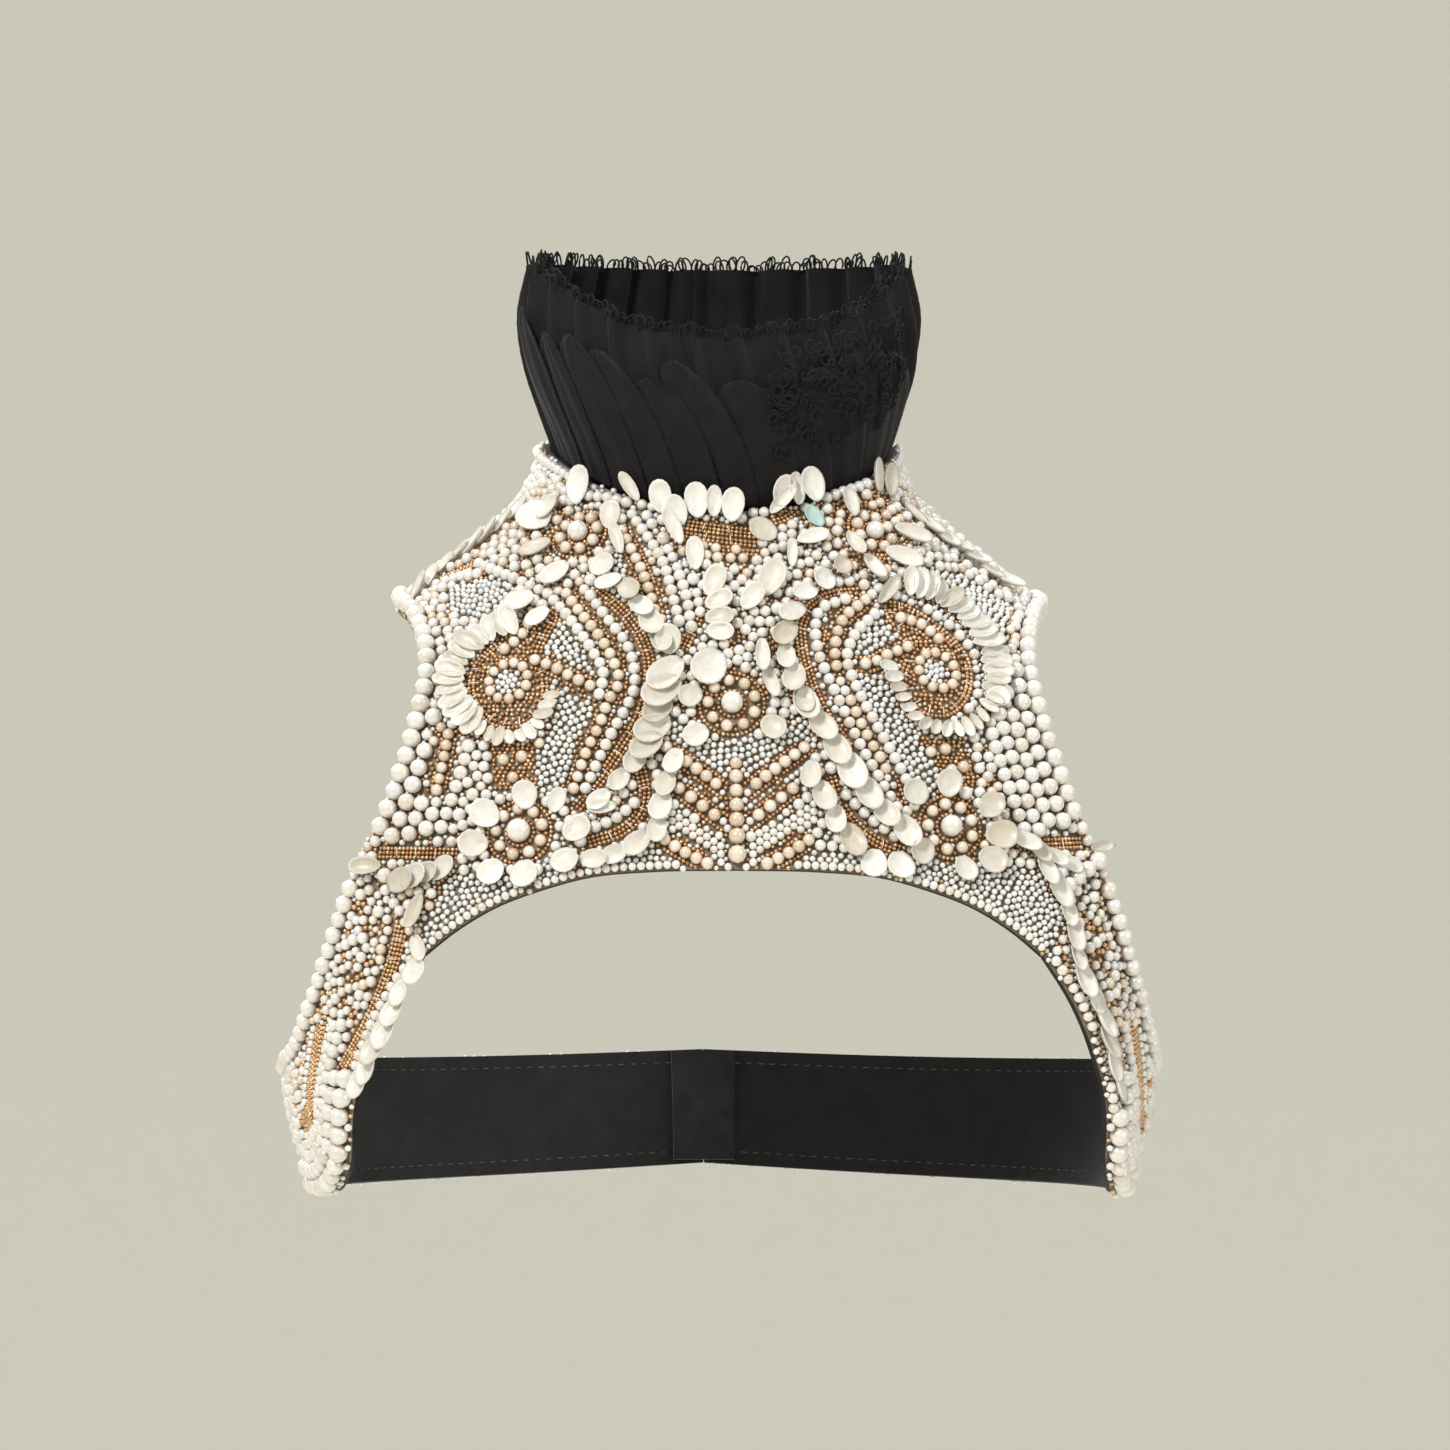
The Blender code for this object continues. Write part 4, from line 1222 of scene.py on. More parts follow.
# The grounds of beads between the motifs
PATCH_ODD = ((0.004, "gold_pearls", 3.4),)
PATCH_GROUND = Ground(BRONZE, BRONZE_SIZE, 0.88, PATCH_ODD, BRONZE_SIZE, 1.2, 0.4, 0.86)
GOLD_BED_GROUND = PATCH_GROUND._replace(slack=0.9, odd=())
SEED_GROUND = Ground("silver_seeds", 2.2, SLACK, ((0.05, "pearls", 3.2),), 2.2, 1.4, 0.25, 0.29)
YOKE_ODD = ((0.08, "gold_pearls", 3.5), (0.15, "pearls", 4.4))
YOKE_GROUND = Ground("pearls", 3.7, 0.94, YOKE_ODD, 3.7, 2.0, 0.15, 0.3)
GOLD_GROUND = YOKE_GROUND._replace(kind="gold_pearls", size=3.6, slack=1.04, odd=((0.45, "pearls", 3.8),))
YOKE_SMALL_GROUND = Ground("pearls", 2.7, 0.94, ((0.4, "silver_seeds", 2.3),), 2.7, 1.5, 0.25, 0.5)
YOKE_GAP_GROUND = Ground(BRONZE, BRONZE_SIZE, 0.92, ((0.55, "silver_seeds", 1.7),), 1.5, 1.0, 0.4, 0.6)
BAND_ODD = ((0.12, "gold_pearls", 3.8), (0.4, "pearls", 3.2), (0.12, BRONZE, 2.2))
BAND_GROUND = Ground("pearls", 4.0, FILL_SLACK, BAND_ODD, 4.0, 2.4, 0.2, 0.29)
BAND_SMALL_ODD = ((0.5, "silver_seeds", 2.4), (0.04, "gold_pearls", 2.8))
BAND_SMALL_GROUND = Ground("pearls", 2.8, FILL_SLACK, BAND_SMALL_ODD, 2.8, 1.6, 0.25, 0.29)
BAND_GAP_GROUND = Ground("silver_seeds", 1.8, FILL_SLACK, ((0.4, BRONZE, BRONZE_SIZE),), 1.8, 1.2, 0.3, 0.5)
BACK_ODD = ((0.06, "gold_pearls", BACK_PEARL),)
BACK_GROUND = Ground("pearls", BACK_PEARL, FILL_SLACK, BACK_ODD, BACK_PEARL, 0.75 * BACK_PEARL, 0.2, 0.98)
BACK_GAP_GROUND = Ground("silver_seeds", 1.9, FILL_SLACK, (), 1.9, 1.3, 0.3, 0.5)


def rosettes(work):
    """Large pearls ringed with gold pearls in bronze beads."""
    for across, height, centre, radius, ring in ROSETTES:
        place = front_place(across, height)
        work.spot("pearls_large", across, height, centre)
        work.ring("gold_pearls", place, radius, ROSETTE_GOLD, ring)
        for reach in (centre / 2 + ROSETTE_HEART, *(radius + beyond for beyond in ROSETTE_RINGS)):
            work.ring(BRONZE, place, reach, BRONZE_SIZE, int(2 * math.pi * reach / BRONZE_SIZE))


def paisley_hearts(work):
    """The hearts of the paisleys: silver seeds in a ring of gold."""
    for across, height in PAISLEY_HEARTS:
        work.spot("silver_seeds", across, height, HEART_SEED)
        for kind, radius, size, count in HEART_RINGS:
            work.ring(kind, front_place(across, height), radius, size, count)


def paisley_sweeps(work):
    """Rows of bronze beads round each paisley, crossed by bright threads."""
    for sign, outline in ((1, PAISLEY_LEFT), (-1, PAISLEY_RIGHT)):
        run = resampled(front_places(outline + outline[:1]), BRONZE_SIZE)
        for row in range(SWEEP_ROWS):
            work.run(BRONZE, inward(run, sign * (0.5 + row) * BRONZE_SIZE), BRONZE_SIZE, RING_SLACK)
        middle = inward(run, sign * SWEEP_ROWS / 2 * BRONZE_SIZE)
        work.threads(middle[::SWEEP_THREADS], SWEEP_ROWS * BRONZE_SIZE)


def bronze_patches(work, ground):
    """Patches of bronze beads with a few gold pearls."""
    for across, height in PATCH_GOLD:
        work.spot("gold_pearls", across, height, GOLD_SIZE)
    for spots in (PATCH_LEFT, PATCH_RIGHT, PAISLEY_LEFT, PAISLEY_RIGHT):
        work.fill(PATCH_GROUND, ground[in_front_polygon(ground, spots)])


def central_fan(work):
    """The fan below the central flower: arms that meet on a column of pearls."""
    for height, size in FAN_COLUMN:
        work.run("gold_pearls", front_places([(0, height)]), size)
    for side in (-1, 1):
        for spots in FAN_GOLD:
            work.gold_band([(side * across, height) for across, height in spots], FAN_GOLD_SIZE, rows=1)
        for spots, kind, size, rows in FAN_ARMS:
            for row in range(rows):
                drop = row * size * STRING_PITCH
                work.string(kind, [(side * across, height - drop) for across, height in spots], size)


def yoke_edges(work):
    """Rows of pearls along the armholes, the hem and the neckline."""
    armhole = resampled(front_places(ARMHOLE), FINE_STEP)
    neck = round_edge(NECKLINE, 0, NECK_ROW_TURN, FINE_STEP)
    hem = resampled(front_places(HEM), FINE_STEP)
    for side in (-1, 1):
        flip = np.array((side, 1.0))
        distance = ARMHOLE_MARGIN
        for column, size in enumerate(FIELD_SIZES):
            run = inward(armhole, -distance - size / 2)
            distance += size * FIELD_COLUMN
            if column:
                run = run[run[:, 1] < FIELD_TOP - FIELD_STEP_DOWN * column]
            work.run("pearls", resampled(run, size * FIELD_PITCH) * flip, size)
        for edge, (inset, pitch, size) in zip((neck, hem), EDGE_ROWS):
            work.run("pearls", resampled(inward(edge, inset), pitch) * flip, size)


def yoke_motifs(work, ground):
    """The motifs of the front yoke, its edges and its bronze patches."""
    rosettes(work)
    paisley_hearts(work)
    for spots in WHITE_STRINGS:
        work.string("pearls", spots, WHITE_SIZE)
    for spots in GOLD_BANDS:
        work.gold_band(spots)
    for spots in BRONZE_BANDS + NECK_BARS:
        work.bronze_band(spots)
    paisley_sweeps(work)
    central_fan(work)
    all_petals(work)
    yoke_edges(work)
    bronze_patches(work, ground)


def yoke_embroidery(work, outline):
    """All the beadwork of the front yoke: its motifs, and the grounds between them from large to small."""
    ground = candidates(outline, PATCH_GROUND)
    yoke_motifs(work, ground)
    seeds = candidates(outline, SEED_GROUND)
    for spots in SILVER_GROUNDS:
        work.fill(SEED_GROUND, seeds[in_front_polygon(seeds, spots)])
    wide = candidates(outline, YOKE_GROUND)
    for spots in GOLD_GROUNDS:
        work.fill(GOLD_GROUND, wide[in_front_polygon(wide, spots)])
        work.fill(GOLD_BED_GROUND, ground[in_front_polygon(ground, spots)])
    work.fill(YOKE_GROUND, wide)
    work.fill(YOKE_SMALL_GROUND, candidates(outline, YOKE_SMALL_GROUND))
    work.under = True
    work.fill(YOKE_GAP_GROUND, candidates(outline, YOKE_GAP_GROUND))


def all_petals(work):
    """Runs of petals, single ones, and those that stand up along the neck."""
    for run in PETAL_RUNS:
        work.petals(*run)
    for spot in SINGLE_PETALS:
        work.single_petal(spot)
    for spot in NECK_PETALS:
        work.single_petal(spot, NECK_PETAL_TILT, NECK_PETAL_LIFT)
    work.single_petal(AQUA_PETAL, AQUA_PETAL_TILT, NECK_PETAL_LIFT)


def band_embroidery(work, outline, side):
    """The side band: a strap of pearls and petals at the front, plainer round the side."""
    top, low = strap_edges(FINE_STEP)
    flip = np.array((side, 1.0))
    distance = STRAP_MARGIN
    for size in STRAP_COLUMNS:
        run = inward(low, distance + size / 2)
        run = run[run[:, 1] < STRAP_COLUMN_TOP]
        work.run("pearls_large", resampled(run, size * STRAP_PITCH) * flip, size)
        distance += size * COLUMN_PITCH
    for edge, (inset, pitch, size, slack) in zip((top, low), STRAP_ROWS):
        work.run("pearls", resampled(inward(edge, inset), pitch) * flip, size, slack)
    work.bronze_band(STRAP_BANDS[0] if side < 0 else STRAP_BANDS[1], STRAP_BAND_ROWS)
    for kind, size in SIDE_COLUMNS:
        run = inward(low, distance + size / 2)
        run = run[(run[:, 1] < SIDE_COLUMN_TOP) & (run[:, 0] < math.radians(SIDE_COLUMN_TURN))]
        work.run(kind, resampled(run, size * STRING_PITCH) * flip, size, SIDE_SLACK)
        distance += size * COLUMN_PITCH
    work.fill(BAND_GROUND, candidates(outline, BAND_GROUND))
    work.fill(BAND_SMALL_GROUND, candidates(outline, BAND_SMALL_GROUND))
    work.under = True
    work.fill(BAND_GAP_GROUND, candidates(outline, BAND_GAP_GROUND))


def back_embroidery(work, outline):
    """Plain level rows of pearls on a back piece, edged with larger ones."""
    work.run("pearls", resampled_closed(outline, BACK_EDGE_PITCH, BACK_EDGE_INSET), BACK_EDGE_PEARL)
    work.fill(BACK_GROUND, candidates(outline, BACK_GROUND))
    work.fill(BACK_GAP_GROUND, candidates(outline, BACK_GAP_GROUND))


def resampled_closed(outline, step, distance):
    """Places just inside a whole outline."""
    closed = np.vstack((outline, outline[:1]))
    return inward(resampled(closed, step), distance)


def batch_mesh(name, template, beads, sit):
    """One mesh of many beads, each standing on the cloth with its own turn, tilt and size."""
    shape, faces = template
    points, level, rise, out = frames_at(np.array([bead.place for bead in beads]))
    rows = [(bead.size, bead.long, bead.turn, bead.tilt, bead.tint) for bead in beads]
    sizes, longs, turns, tilts, tints = np.array(rows).T[:, :, None]
    lifts = np.array([bead.size * sit if bead.lift is None else bead.lift for bead in beads])[:, None]
    ahead = level * np.cos(turns) + rise * np.sin(turns)
    right = np.cross(ahead, out)
    forward = ahead * np.cos(tilts) + out * np.sin(tilts)
    upward = np.cross(right, forward)
    rolls = np.where(tilts > 0, PETAL_ROLL * np.sin(PETAL_ROLL_SPREAD * tints), 0)
    rolled = right * np.cos(rolls) + upward * np.sin(rolls)
    upward = upward * np.cos(rolls) - right * np.sin(rolls)
    local = shape[None, :, :] * sizes[:, :, None]
    local[:, :, 1] *= longs
    spread = (points + out * lifts)[:, None, :]
    for axis, direction in enumerate((rolled, forward, upward)):
        spread = spread + local[:, :, axis:axis + 1] * direction[:, None, :]
    return joined_mesh(name, spread, faces, tints[:, 0])


def joined_mesh(name, spread, faces, tints):
    """A smooth mesh from the same faces over many sets of points, with a tint for each set."""
    count, per = spread.shape[:2]
    sizes = np.array([len(face) for face in faces])
    corners = np.concatenate([np.array(face) for face in faces])
    loops = (corners[None, :] + per * np.arange(count)[:, None]).ravel()
    mesh = bpy.data.meshes.new(name)
    mesh.vertices.add(count * per)
    mesh.vertices.foreach_set("co", (spread * MM).astype(np.float32).ravel())
    mesh.loops.add(len(loops))
    mesh.loops.foreach_set("vertex_index", loops.astype(np.int32))
    all_sizes = np.tile(sizes, count)
    starts = np.concatenate(((0,), np.cumsum(all_sizes)[:-1]))
    mesh.polygons.add(len(all_sizes))
    mesh.polygons.foreach_set("loop_start", starts.astype(np.int32))
    mesh.polygons.foreach_set("use_smooth", np.ones(len(all_sizes), dtype=bool))
    mesh.update(calc_edges=True)
    mesh.validate()
    tint = mesh.attributes.new("tint", "FLOAT", "POINT")
    tint.data.foreach_set("value", np.repeat(tints, per).astype(np.float32))
    return mesh


# Materials: colours are linear

def feed(tree, socket, value):
    """Link a socket to another one, or set it to a plain value."""
    if isinstance(value, bpy.types.NodeSocket):
        tree.links.new(value, socket)
    else:
        socket.default_value = value


def add_node(tree, kind, inputs):
    """A new node with its inputs."""
    node = tree.nodes.new(kind)
    for name, value in inputs.items():
        feed(tree, node.inputs[name], value)
    return node


def object_vector(tree):
    """The object's own coordinates, in metres."""
    return add_node(tree, "ShaderNodeTexCoord", {}).outputs["Object"]


def noise(tree, per_mm, detail=3.0, vector=None):
    """Noise over the object, by details to a millimetre."""
    vector = object_vector(tree) if vector is None else vector
    inputs = {"Vector": vector, "Scale": per_mm / MM, "Detail": detail}
    return add_node(tree, "ShaderNodeTexNoise", inputs).outputs["Fac"]


def ramp_colour(tree, share, stops):
    """The colour that a share picks from stops of position and colour."""
    ramp = add_node(tree, "ShaderNodeValToRGB", {"Fac": share})
    elements = ramp.color_ramp.elements
    while len(elements) < len(stops):
        elements.new(0.5)
    for element, (position, colour) in zip(elements, stops):
        element.position = position
        element.color = (*colour, 1)
    return ramp.outputs["Color"]


def tint_colour(tree, stops):
    """Colours spread over the beads by their tint."""
    tint = add_node(tree, "ShaderNodeAttribute", {})
    tint.attribute_name = "tint"
    return ramp_colour(tree, tint.outputs["Fac"], stops)


def mixed_colour(tree, share, first, second, blend):
    """Two colours mixed by a share."""
    mix = tree.nodes.new("ShaderNodeMix")
    mix.data_type = "RGBA"
    mix.blend_type = blend
    for index, value in ((0, share), (6, first), (7, second)):
        feed(tree, mix.inputs[index], value)
    return mix.outputs[2]


def combined(tree, operation, *values):
    """What a math node makes of values."""
    node = tree.nodes.new("ShaderNodeMath")
    node.operation = operation
    for socket, value in zip(node.inputs, values):
        feed(tree, socket, value)
    return node.outputs["Value"]


def new_material(name, inputs, height=None, strength=0.0, depth=0.0):
    """A material from its surface inputs, each a value or a maker, and a bump of a depth in millimetres."""
    material = bpy.data.materials.new(name)
    material.use_nodes = True
    tree = material.node_tree
    shader = tree.nodes["Principled BSDF"]
    for socket, value in inputs.items():
        feed(tree, shader.inputs[socket], value(tree) if callable(value) else value)
    if height:
        bump_inputs = {"Height": height(tree), "Strength": strength, "Distance": depth * MM}
        bump = add_node(tree, "ShaderNodeBump", bump_inputs)
        tree.links.new(bump.outputs["Normal"], shader.inputs["Normal"])
    return material


def bead_material(name, stops, metallic, roughness, coat, grain, strength):
    """Glossy beads with a colour of their own each and slight unevenness."""
    inputs = {
        "Base Color": lambda tree: tint_colour(tree, stops),
        "Metallic": metallic,
        "Roughness": roughness,
        "Coat Weight": coat,
        "Coat Roughness": 0.08,
    }
    return new_material(name, inputs, lambda tree: noise(tree, grain), strength, depth=0.12)


def pearl_material(name, stops, lustre):
    """Imitation pearl: a soft body colour under a lustrous coat, warmer at the rim."""
    def body(tree):
        rim = add_node(tree, "ShaderNodeLayerWeight", {"Blend": 0.35}).outputs["Facing"]
        return mixed_colour(tree, rim, tint_colour(tree, stops), (*lustre, 1), "MIX")

    inputs = {
        "Base Color": body,
        "Metallic": 0.2,
        "Roughness": 0.22,
        "Coat Weight": 0.9,
        "Coat Roughness": 0.05,
    }
    return new_material(name, inputs, lambda tree: noise(tree, per_mm=0.9), strength=0.12, depth=0.15)


def petal_material(name, stops):
    """Matt shell-like sequins with fine ribs and cream stains."""
    def body(tree):
        stain = ramp_colour(tree, noise(tree, per_mm=0.35, detail=6.0), PETAL_STAIN)
        return mixed_colour(tree, PETAL_STAINED, tint_colour(tree, stops), stain, "MULTIPLY")

    inputs = {"Base Color": body, "Roughness": 0.38, "Coat Weight": 0.25, "Coat Roughness": 0.25}
    return new_material(name, inputs, lambda tree: noise(tree, 2.2, detail=4.0), strength=0.5, depth=0.18)


def cloth_material(name, colour, pale, threads, sheen, crinkle):
    """A fine woven cloth: crossed threads as bump, a paler nap and perhaps upright crinkles."""
    def nap(tree):
        return ramp_colour(tree, noise(tree, per_mm=0.12, detail=5.0), ((0.35, colour), (0.7, pale)))

    def weave(tree):
        vector = object_vector(tree)
        waves = []
        for direction in ("X", "Z"):
            inputs = {"Vector": vector, "Scale": threads / MM / math.pi, "Distortion": 0.6, "Detail": 1}
            wave = add_node(tree, "ShaderNodeTexWave", inputs)
            wave.bands_direction = direction
            waves.append(wave.outputs["Fac"])
        height = combined(tree, "MAXIMUM", *waves)
        if crinkle:
            upright = add_node(tree, "ShaderNodeMapping", {"Vector": vector, "Scale": CRINKLE_STRETCH})
            folds = noise(tree, crinkle, vector=upright.outputs["Vector"])
            height = combined(tree, "MULTIPLY_ADD", folds, CRINKLE_DEPTH, height)
        return height

    inputs = {
        "Base Color": nap,
        "Roughness": 0.85,
        "Sheen Weight": sheen,
        "Sheen Roughness": 0.45,
        "Specular IOR Level": 0.25,
    }
    return new_material(name, inputs, weave, strength=0.4, depth=0.12)


CLOTHS = rows_of(
    "name colour pale threads sheen crinkle",
    ("threaded_ground_net", (0.165, 0.124, 0.088), (0.28, 0.218, 0.16), 1.2, 0.2, 0.0),
    ("black_lining", (0.012, 0.011, 0.012), (0.017, 0.016, 0.017), 1.2, 0.12, 0.0),
    ("black_pleated_georgette", (0.0045, 0.0036, 0.004), (0.0085, 0.0072, 0.0078), 1.6, 0.055, 0.9),
    ("black_petersham_tape", (0.012, 0.012, 0.013), (0.022, 0.022, 0.024), 0.9, 0.3, 0.0),
)
CRINKLE_STRETCH = (1, 1, 0.07)
CRINKLE_DEPTH = 6.0
PETAL_STAIN = ((0.38, (0.87, 0.81, 0.71)), (0.62, (1, 1, 1)))
PETAL_STAINED = 0.55
WHITE_STOPS = (
    (0.0, (0.71, 0.70, 0.67)),
    (0.45, (0.80, 0.78, 0.735)),
    (0.8, (0.77, 0.72, 0.65)),
    (1.0, (0.67, 0.585, 0.485)),
)
SILVER_STOPS = (
    (0.0, (0.64, 0.64, 0.63)),
    (0.5, (0.78, 0.775, 0.74)),
    (1.0, (0.85, 0.83, 0.77)),
)
GOLD_STOPS = (
    (0.0, (0.65, 0.54, 0.41)),
    (0.5, (0.78, 0.675, 0.55)),
    (1.0, (0.83, 0.775, 0.69)),
)
BRONZE_STOPS = (
    (0.0, (0.40, 0.21, 0.09)),
    (0.5, (0.61, 0.355, 0.17)),
    (0.85, (0.73, 0.475, 0.26)),
    (1.0, (0.85, 0.64, 0.43)),
)
PETAL_STOPS = (
    (0.0, (0.57, 0.52, 0.43)),
    (0.2, (0.67, 0.635, 0.565)),
    (0.7, (0.73, 0.71, 0.655)),
    (1.0, (0.77, 0.76, 0.72)),
)
AQUA_STOPS = ((0.0, (0.42, 0.62, 0.58)), (1.0, (0.55, 0.72, 0.68)))
LINING_STOPS = ((0.0, (0.055, 0.050, 0.050)), (1.0, (0.090, 0.082, 0.080)))
STITCH_STOPS = ((0.0, (0.60, 0.50, 0.38)), (1.0, (0.85, 0.80, 0.70)))


PEARL_LOOKS = rows_of(
    "name stops lustre",
    ("white_pearl", WHITE_STOPS, (0.88, 0.82, 0.755)),
    ("champagne_pearl", GOLD_STOPS, (0.62, 0.40, 0.22)),
)
BEAD_LOOKS = rows_of(
    "name stops metallic roughness coat grain strength",
    ("silver_seed", SILVER_STOPS, 0.2, 0.24, 0.6, 1.2, 0.15),
    ("bronze_seed", BRONZE_STOPS, 0.6, 0.28, 0.35, 2.0, 0.3),
    ("bright_thread", STITCH_STOPS, 0.2, 0.5, 0.1, 3.0, 0.3),
    ("lining_thread", LINING_STOPS, 0.0, 0.7, 0.0, 3.0, 0.3),
)
PETAL_LOOKS = (("cream_petal", PETAL_STOPS), ("aqua_petal", AQUA_STOPS))

# Round beads and threads. Sit is the height of a bead's middle above the cloth, in sizes.
ROUND_KINDS = rows_of(
    "kind sides rings look slot sit",
    ("pearls", 10, 6, "white_pearl", "pearls", 0.42),
    ("pearls_large", 14, 9, "white_pearl", "pearls", 0.42),
    ("gold_pearls", 9, 5, "champagne_pearl", "gold_pearls", 0.42),
    ("silver_seeds", 7, 3, "silver_seed", "pearls", 0.38),
    (BRONZE, 6, 3, "bronze_seed", "bronze_beads", 0.42),
    ("lining_stitches", 5, 3, "lining_thread", "black_cloth", 0.0),
    ("stitches", 6, 4, "bright_thread", "pearls", 0.0),
)


def bead_kinds():
    """Template, material, slot and seat of each kind of bead."""
    looks = {look.name: pearl_material(*look) for look in PEARL_LOOKS}
    looks |= {look.name: bead_material(*look) for look in BEAD_LOOKS}
    looks |= {name: petal_material(name, stops) for name, stops in PETAL_LOOKS}
    kinds = {}
    for row in ROUND_KINDS:
        kinds[row.kind] = Kind(ball_template(row.sides, row.rings), looks[row.look], row.slot, row.sit)
    for kind, shape in PETAL_SHAPES.items():
        look = looks["aqua_petal" if kind == AQUA else "cream_petal"]
        kinds[kind] = Kind(petal_template(shape.width), look, "petal_sequins", 0.0)
    return kinds


def lining_stitches(work, outline):
    """Running stitches that hold the lining, a little in from every edge."""
    run = resampled_closed(outline, LINING_PITCH, LINING_INSET)
    for place, turn in zip(run, run_turns(run)[1]):
        turn += work.random.uniform(-LINING_STRAY, LINING_STRAY)
        stitch = Bead(tuple(place), LINING_THREAD, LINING_LONG, turn, 0.0, -WALL, work.random.random())
        work.beads["lining_stitches"].append(stitch)


def add_beads(region, work, kinds):
    """One mesh for each kind of bead in a region."""
    for kind, beads in sorted(work.beads.items()):
        info = kinds[kind]
        shifted = [centred_petal(bead) if "petal" in kind else bead for bead in beads]
        mesh = batch_mesh(f"{region}_{kind}", info.template, shifted, info.sit)
        add_piece(f"{region}_{kind}", mesh, info.material, info.slot)


def centred_petal(bead):
    """The petal moved back, so that its middle lies over its place."""
    back = -PETAL_BACK * bead.size
    place = moved(np.array([bead.place]), back * math.cos(bead.turn), back * math.sin(bead.turn))[0]
    return bead._replace(place=tuple(place))


# The collar's loose folds, its lace curls, and the picots along its rim

def collar_crest(angles, share, proud):
    """Points a little outside the line of the collar's crests, and the directions away from the neck."""
    necks = round_height(NECKLINE, angles)
    tops = round_height(COLLAR_TOP, angles)
    outward = collar_outward(angles)
    base = body_points(np.column_stack((angles, necks)))
    points = base + outward * (collar_shape(share)[0] - WALL - SEAM_GAP + proud)[:, None]
    points[:, 2] = necks + share * (tops - necks)
    return points, outward


def fold_wave(wave, places, share, turn):
    """How far one wave lifts the cloth of a fold along a row at a share of its height."""
    depth, across, up, around = wave
    return depth * np.sin(across * places + up * share + around * turn)


def fold_points(turn, source):
    """Both sides of one leaf-like fold that stands off the front of the collar."""
    lean = math.radians(FOLD_LEAN * source.uniform(*FOLD_LEANS))
    width = math.radians(FOLD_WIDTH * source.uniform(*FOLD_WIDTHS))
    top = source.uniform(*FOLD_TOP)
    places = np.linspace(-1, 1, FOLD_COLUMNS)
    front = []
    back = []
    for row in range(FOLD_ROWS):
        share = row / (FOLD_ROWS - 1)
        past = max(0.0, (share - FOLD_ROUND) / (1 - FOLD_ROUND))
        rounding = math.sqrt(max(FOLD_TIP, 1 - past ** 2))
        tooth = FOLD_TOOTH * (row % 2) * places ** FOLD_TOOTH_POWER
        angles = turn + lean * share ** FOLD_LEAN_POWER + width / 2 * (rounding + tooth) * places
        proud = FOLD_BOW * np.cos(FOLD_BOW_TURN * places) * (FOLD_BOW_FOOT + (1 - FOLD_BOW_FOOT) * share)
        proud += FOLD_STEP * places
        proud += share * fold_wave(FOLD_RIPPLE, places, share, turn)
        proud += fold_wave(FOLD_CREASE, places, share, turn)
        points, outward = collar_crest(angles, FOLD_FOOT + share * top, proud)
        front.append(points)
        back.append(points - outward * FOLD_WALL)
    return np.concatenate((np.array(front).reshape(-1, 3), np.array(back).reshape(-1, 3)))


def fold_mesh():
    """Overlapping folds across the front of the collar."""
    source = random.Random(SEED + 1)
    spread = [fold_points(math.radians(turn), source) for turn in FOLD_TURNS]
    tints = np.array([source.random() for _ in spread])
    return joined_mesh("collar_folds", np.array(spread), strip_faces(FOLD_ROWS, FOLD_COLUMNS), tints)


def curl_mesh():
    """Small curls of thread on the lace side of the collar."""
    source = random.Random(SEED + 3)
    girth = sections_at([0.0])[0][0]
    tall = COLLAR_TOP[0].height - NECKLINE[0].height
    lift = np.array([CURL_LIFT])
    spread = []
    for _ in range(CURLS):
        angle = math.radians(source.uniform(*CURL_TURNS))
        share = source.uniform(*CURL_SHARES)
        radius = source.uniform(*CURL_RADIUS)
        start = source.uniform(0, 2 * math.pi)
        turns = start + np.linspace(0, source.uniform(*CURL_SWEEP) * math.pi, CURL_STEPS)
        reach = radius * np.linspace(1.0, source.uniform(*CURL_CLOSE), CURL_STEPS)
        angles = angle + reach * np.cos(turns) / girth
        shares = share + reach * np.sin(turns) / tall
        crests = [collar_crest(np.array([turn]), level, lift) for turn, level in zip(angles, shares)]
        spread.append(tube_points(np.array([points[0] for points, _ in crests])))
    return joined_mesh("collar_curls", np.array(spread), tube_faces(CURL_STEPS), np.zeros(len(spread)))


def picot_mesh():
    """Small standing thread loops along the collar's rim."""
    source = random.Random(SEED + 2)
    upward = np.array((0, 0, 1))
    turns = np.linspace(*PICOT_SWEEP, PICOT_STEPS) * math.pi
    rising = (0.5 + 0.5 * np.sin(turns))[:, None]
    spread = []
    tints = []
    for index in range(PICOTS):
        angle = -math.pi + (index + 0.5) * 2 * math.pi / PICOTS
        points, outward = collar_points(np.array([angle]), 1.0)
        tangent = np.cross(upward, outward[0])
        height = source.uniform(*PICOT_HEIGHT)
        width = source.uniform(*PICOT_WIDTH)
        lean = source.uniform(-PICOT_LEAN, PICOT_LEAN)
        tip_out = source.uniform(*PICOT_TIP)
        root = points[0] - outward[0] * COLLAR_WALL / 2 - upward * PICOT_ROOT
        growth = tangent * lean * height + upward * height + outward[0] * tip_out
        spread.append(tube_points(root + tangent * width / 2 * np.cos(turns)[:, None] + rising * growth))
        tints.append(source.random())
    return joined_mesh("collar_picots", np.array(spread), tube_faces(PICOT_STEPS), np.array(tints))


def tube_points(path):
    """Points of a thin cord round a path."""
    ahead = unit(np.gradient(path, axis=0))
    aside = unit(np.cross(ahead, np.array(CORD_ASIDE)[None, :]))
    over = np.cross(ahead, aside)
    rings = []
    for turn in np.linspace(0, 2 * math.pi, CORD_SIDES, endpoint=False):
        rings.append(path + CORD_RADIUS * (aside * math.cos(turn) + over * math.sin(turn)))
    return np.array(rings).transpose(1, 0, 2).reshape(-1, 3)


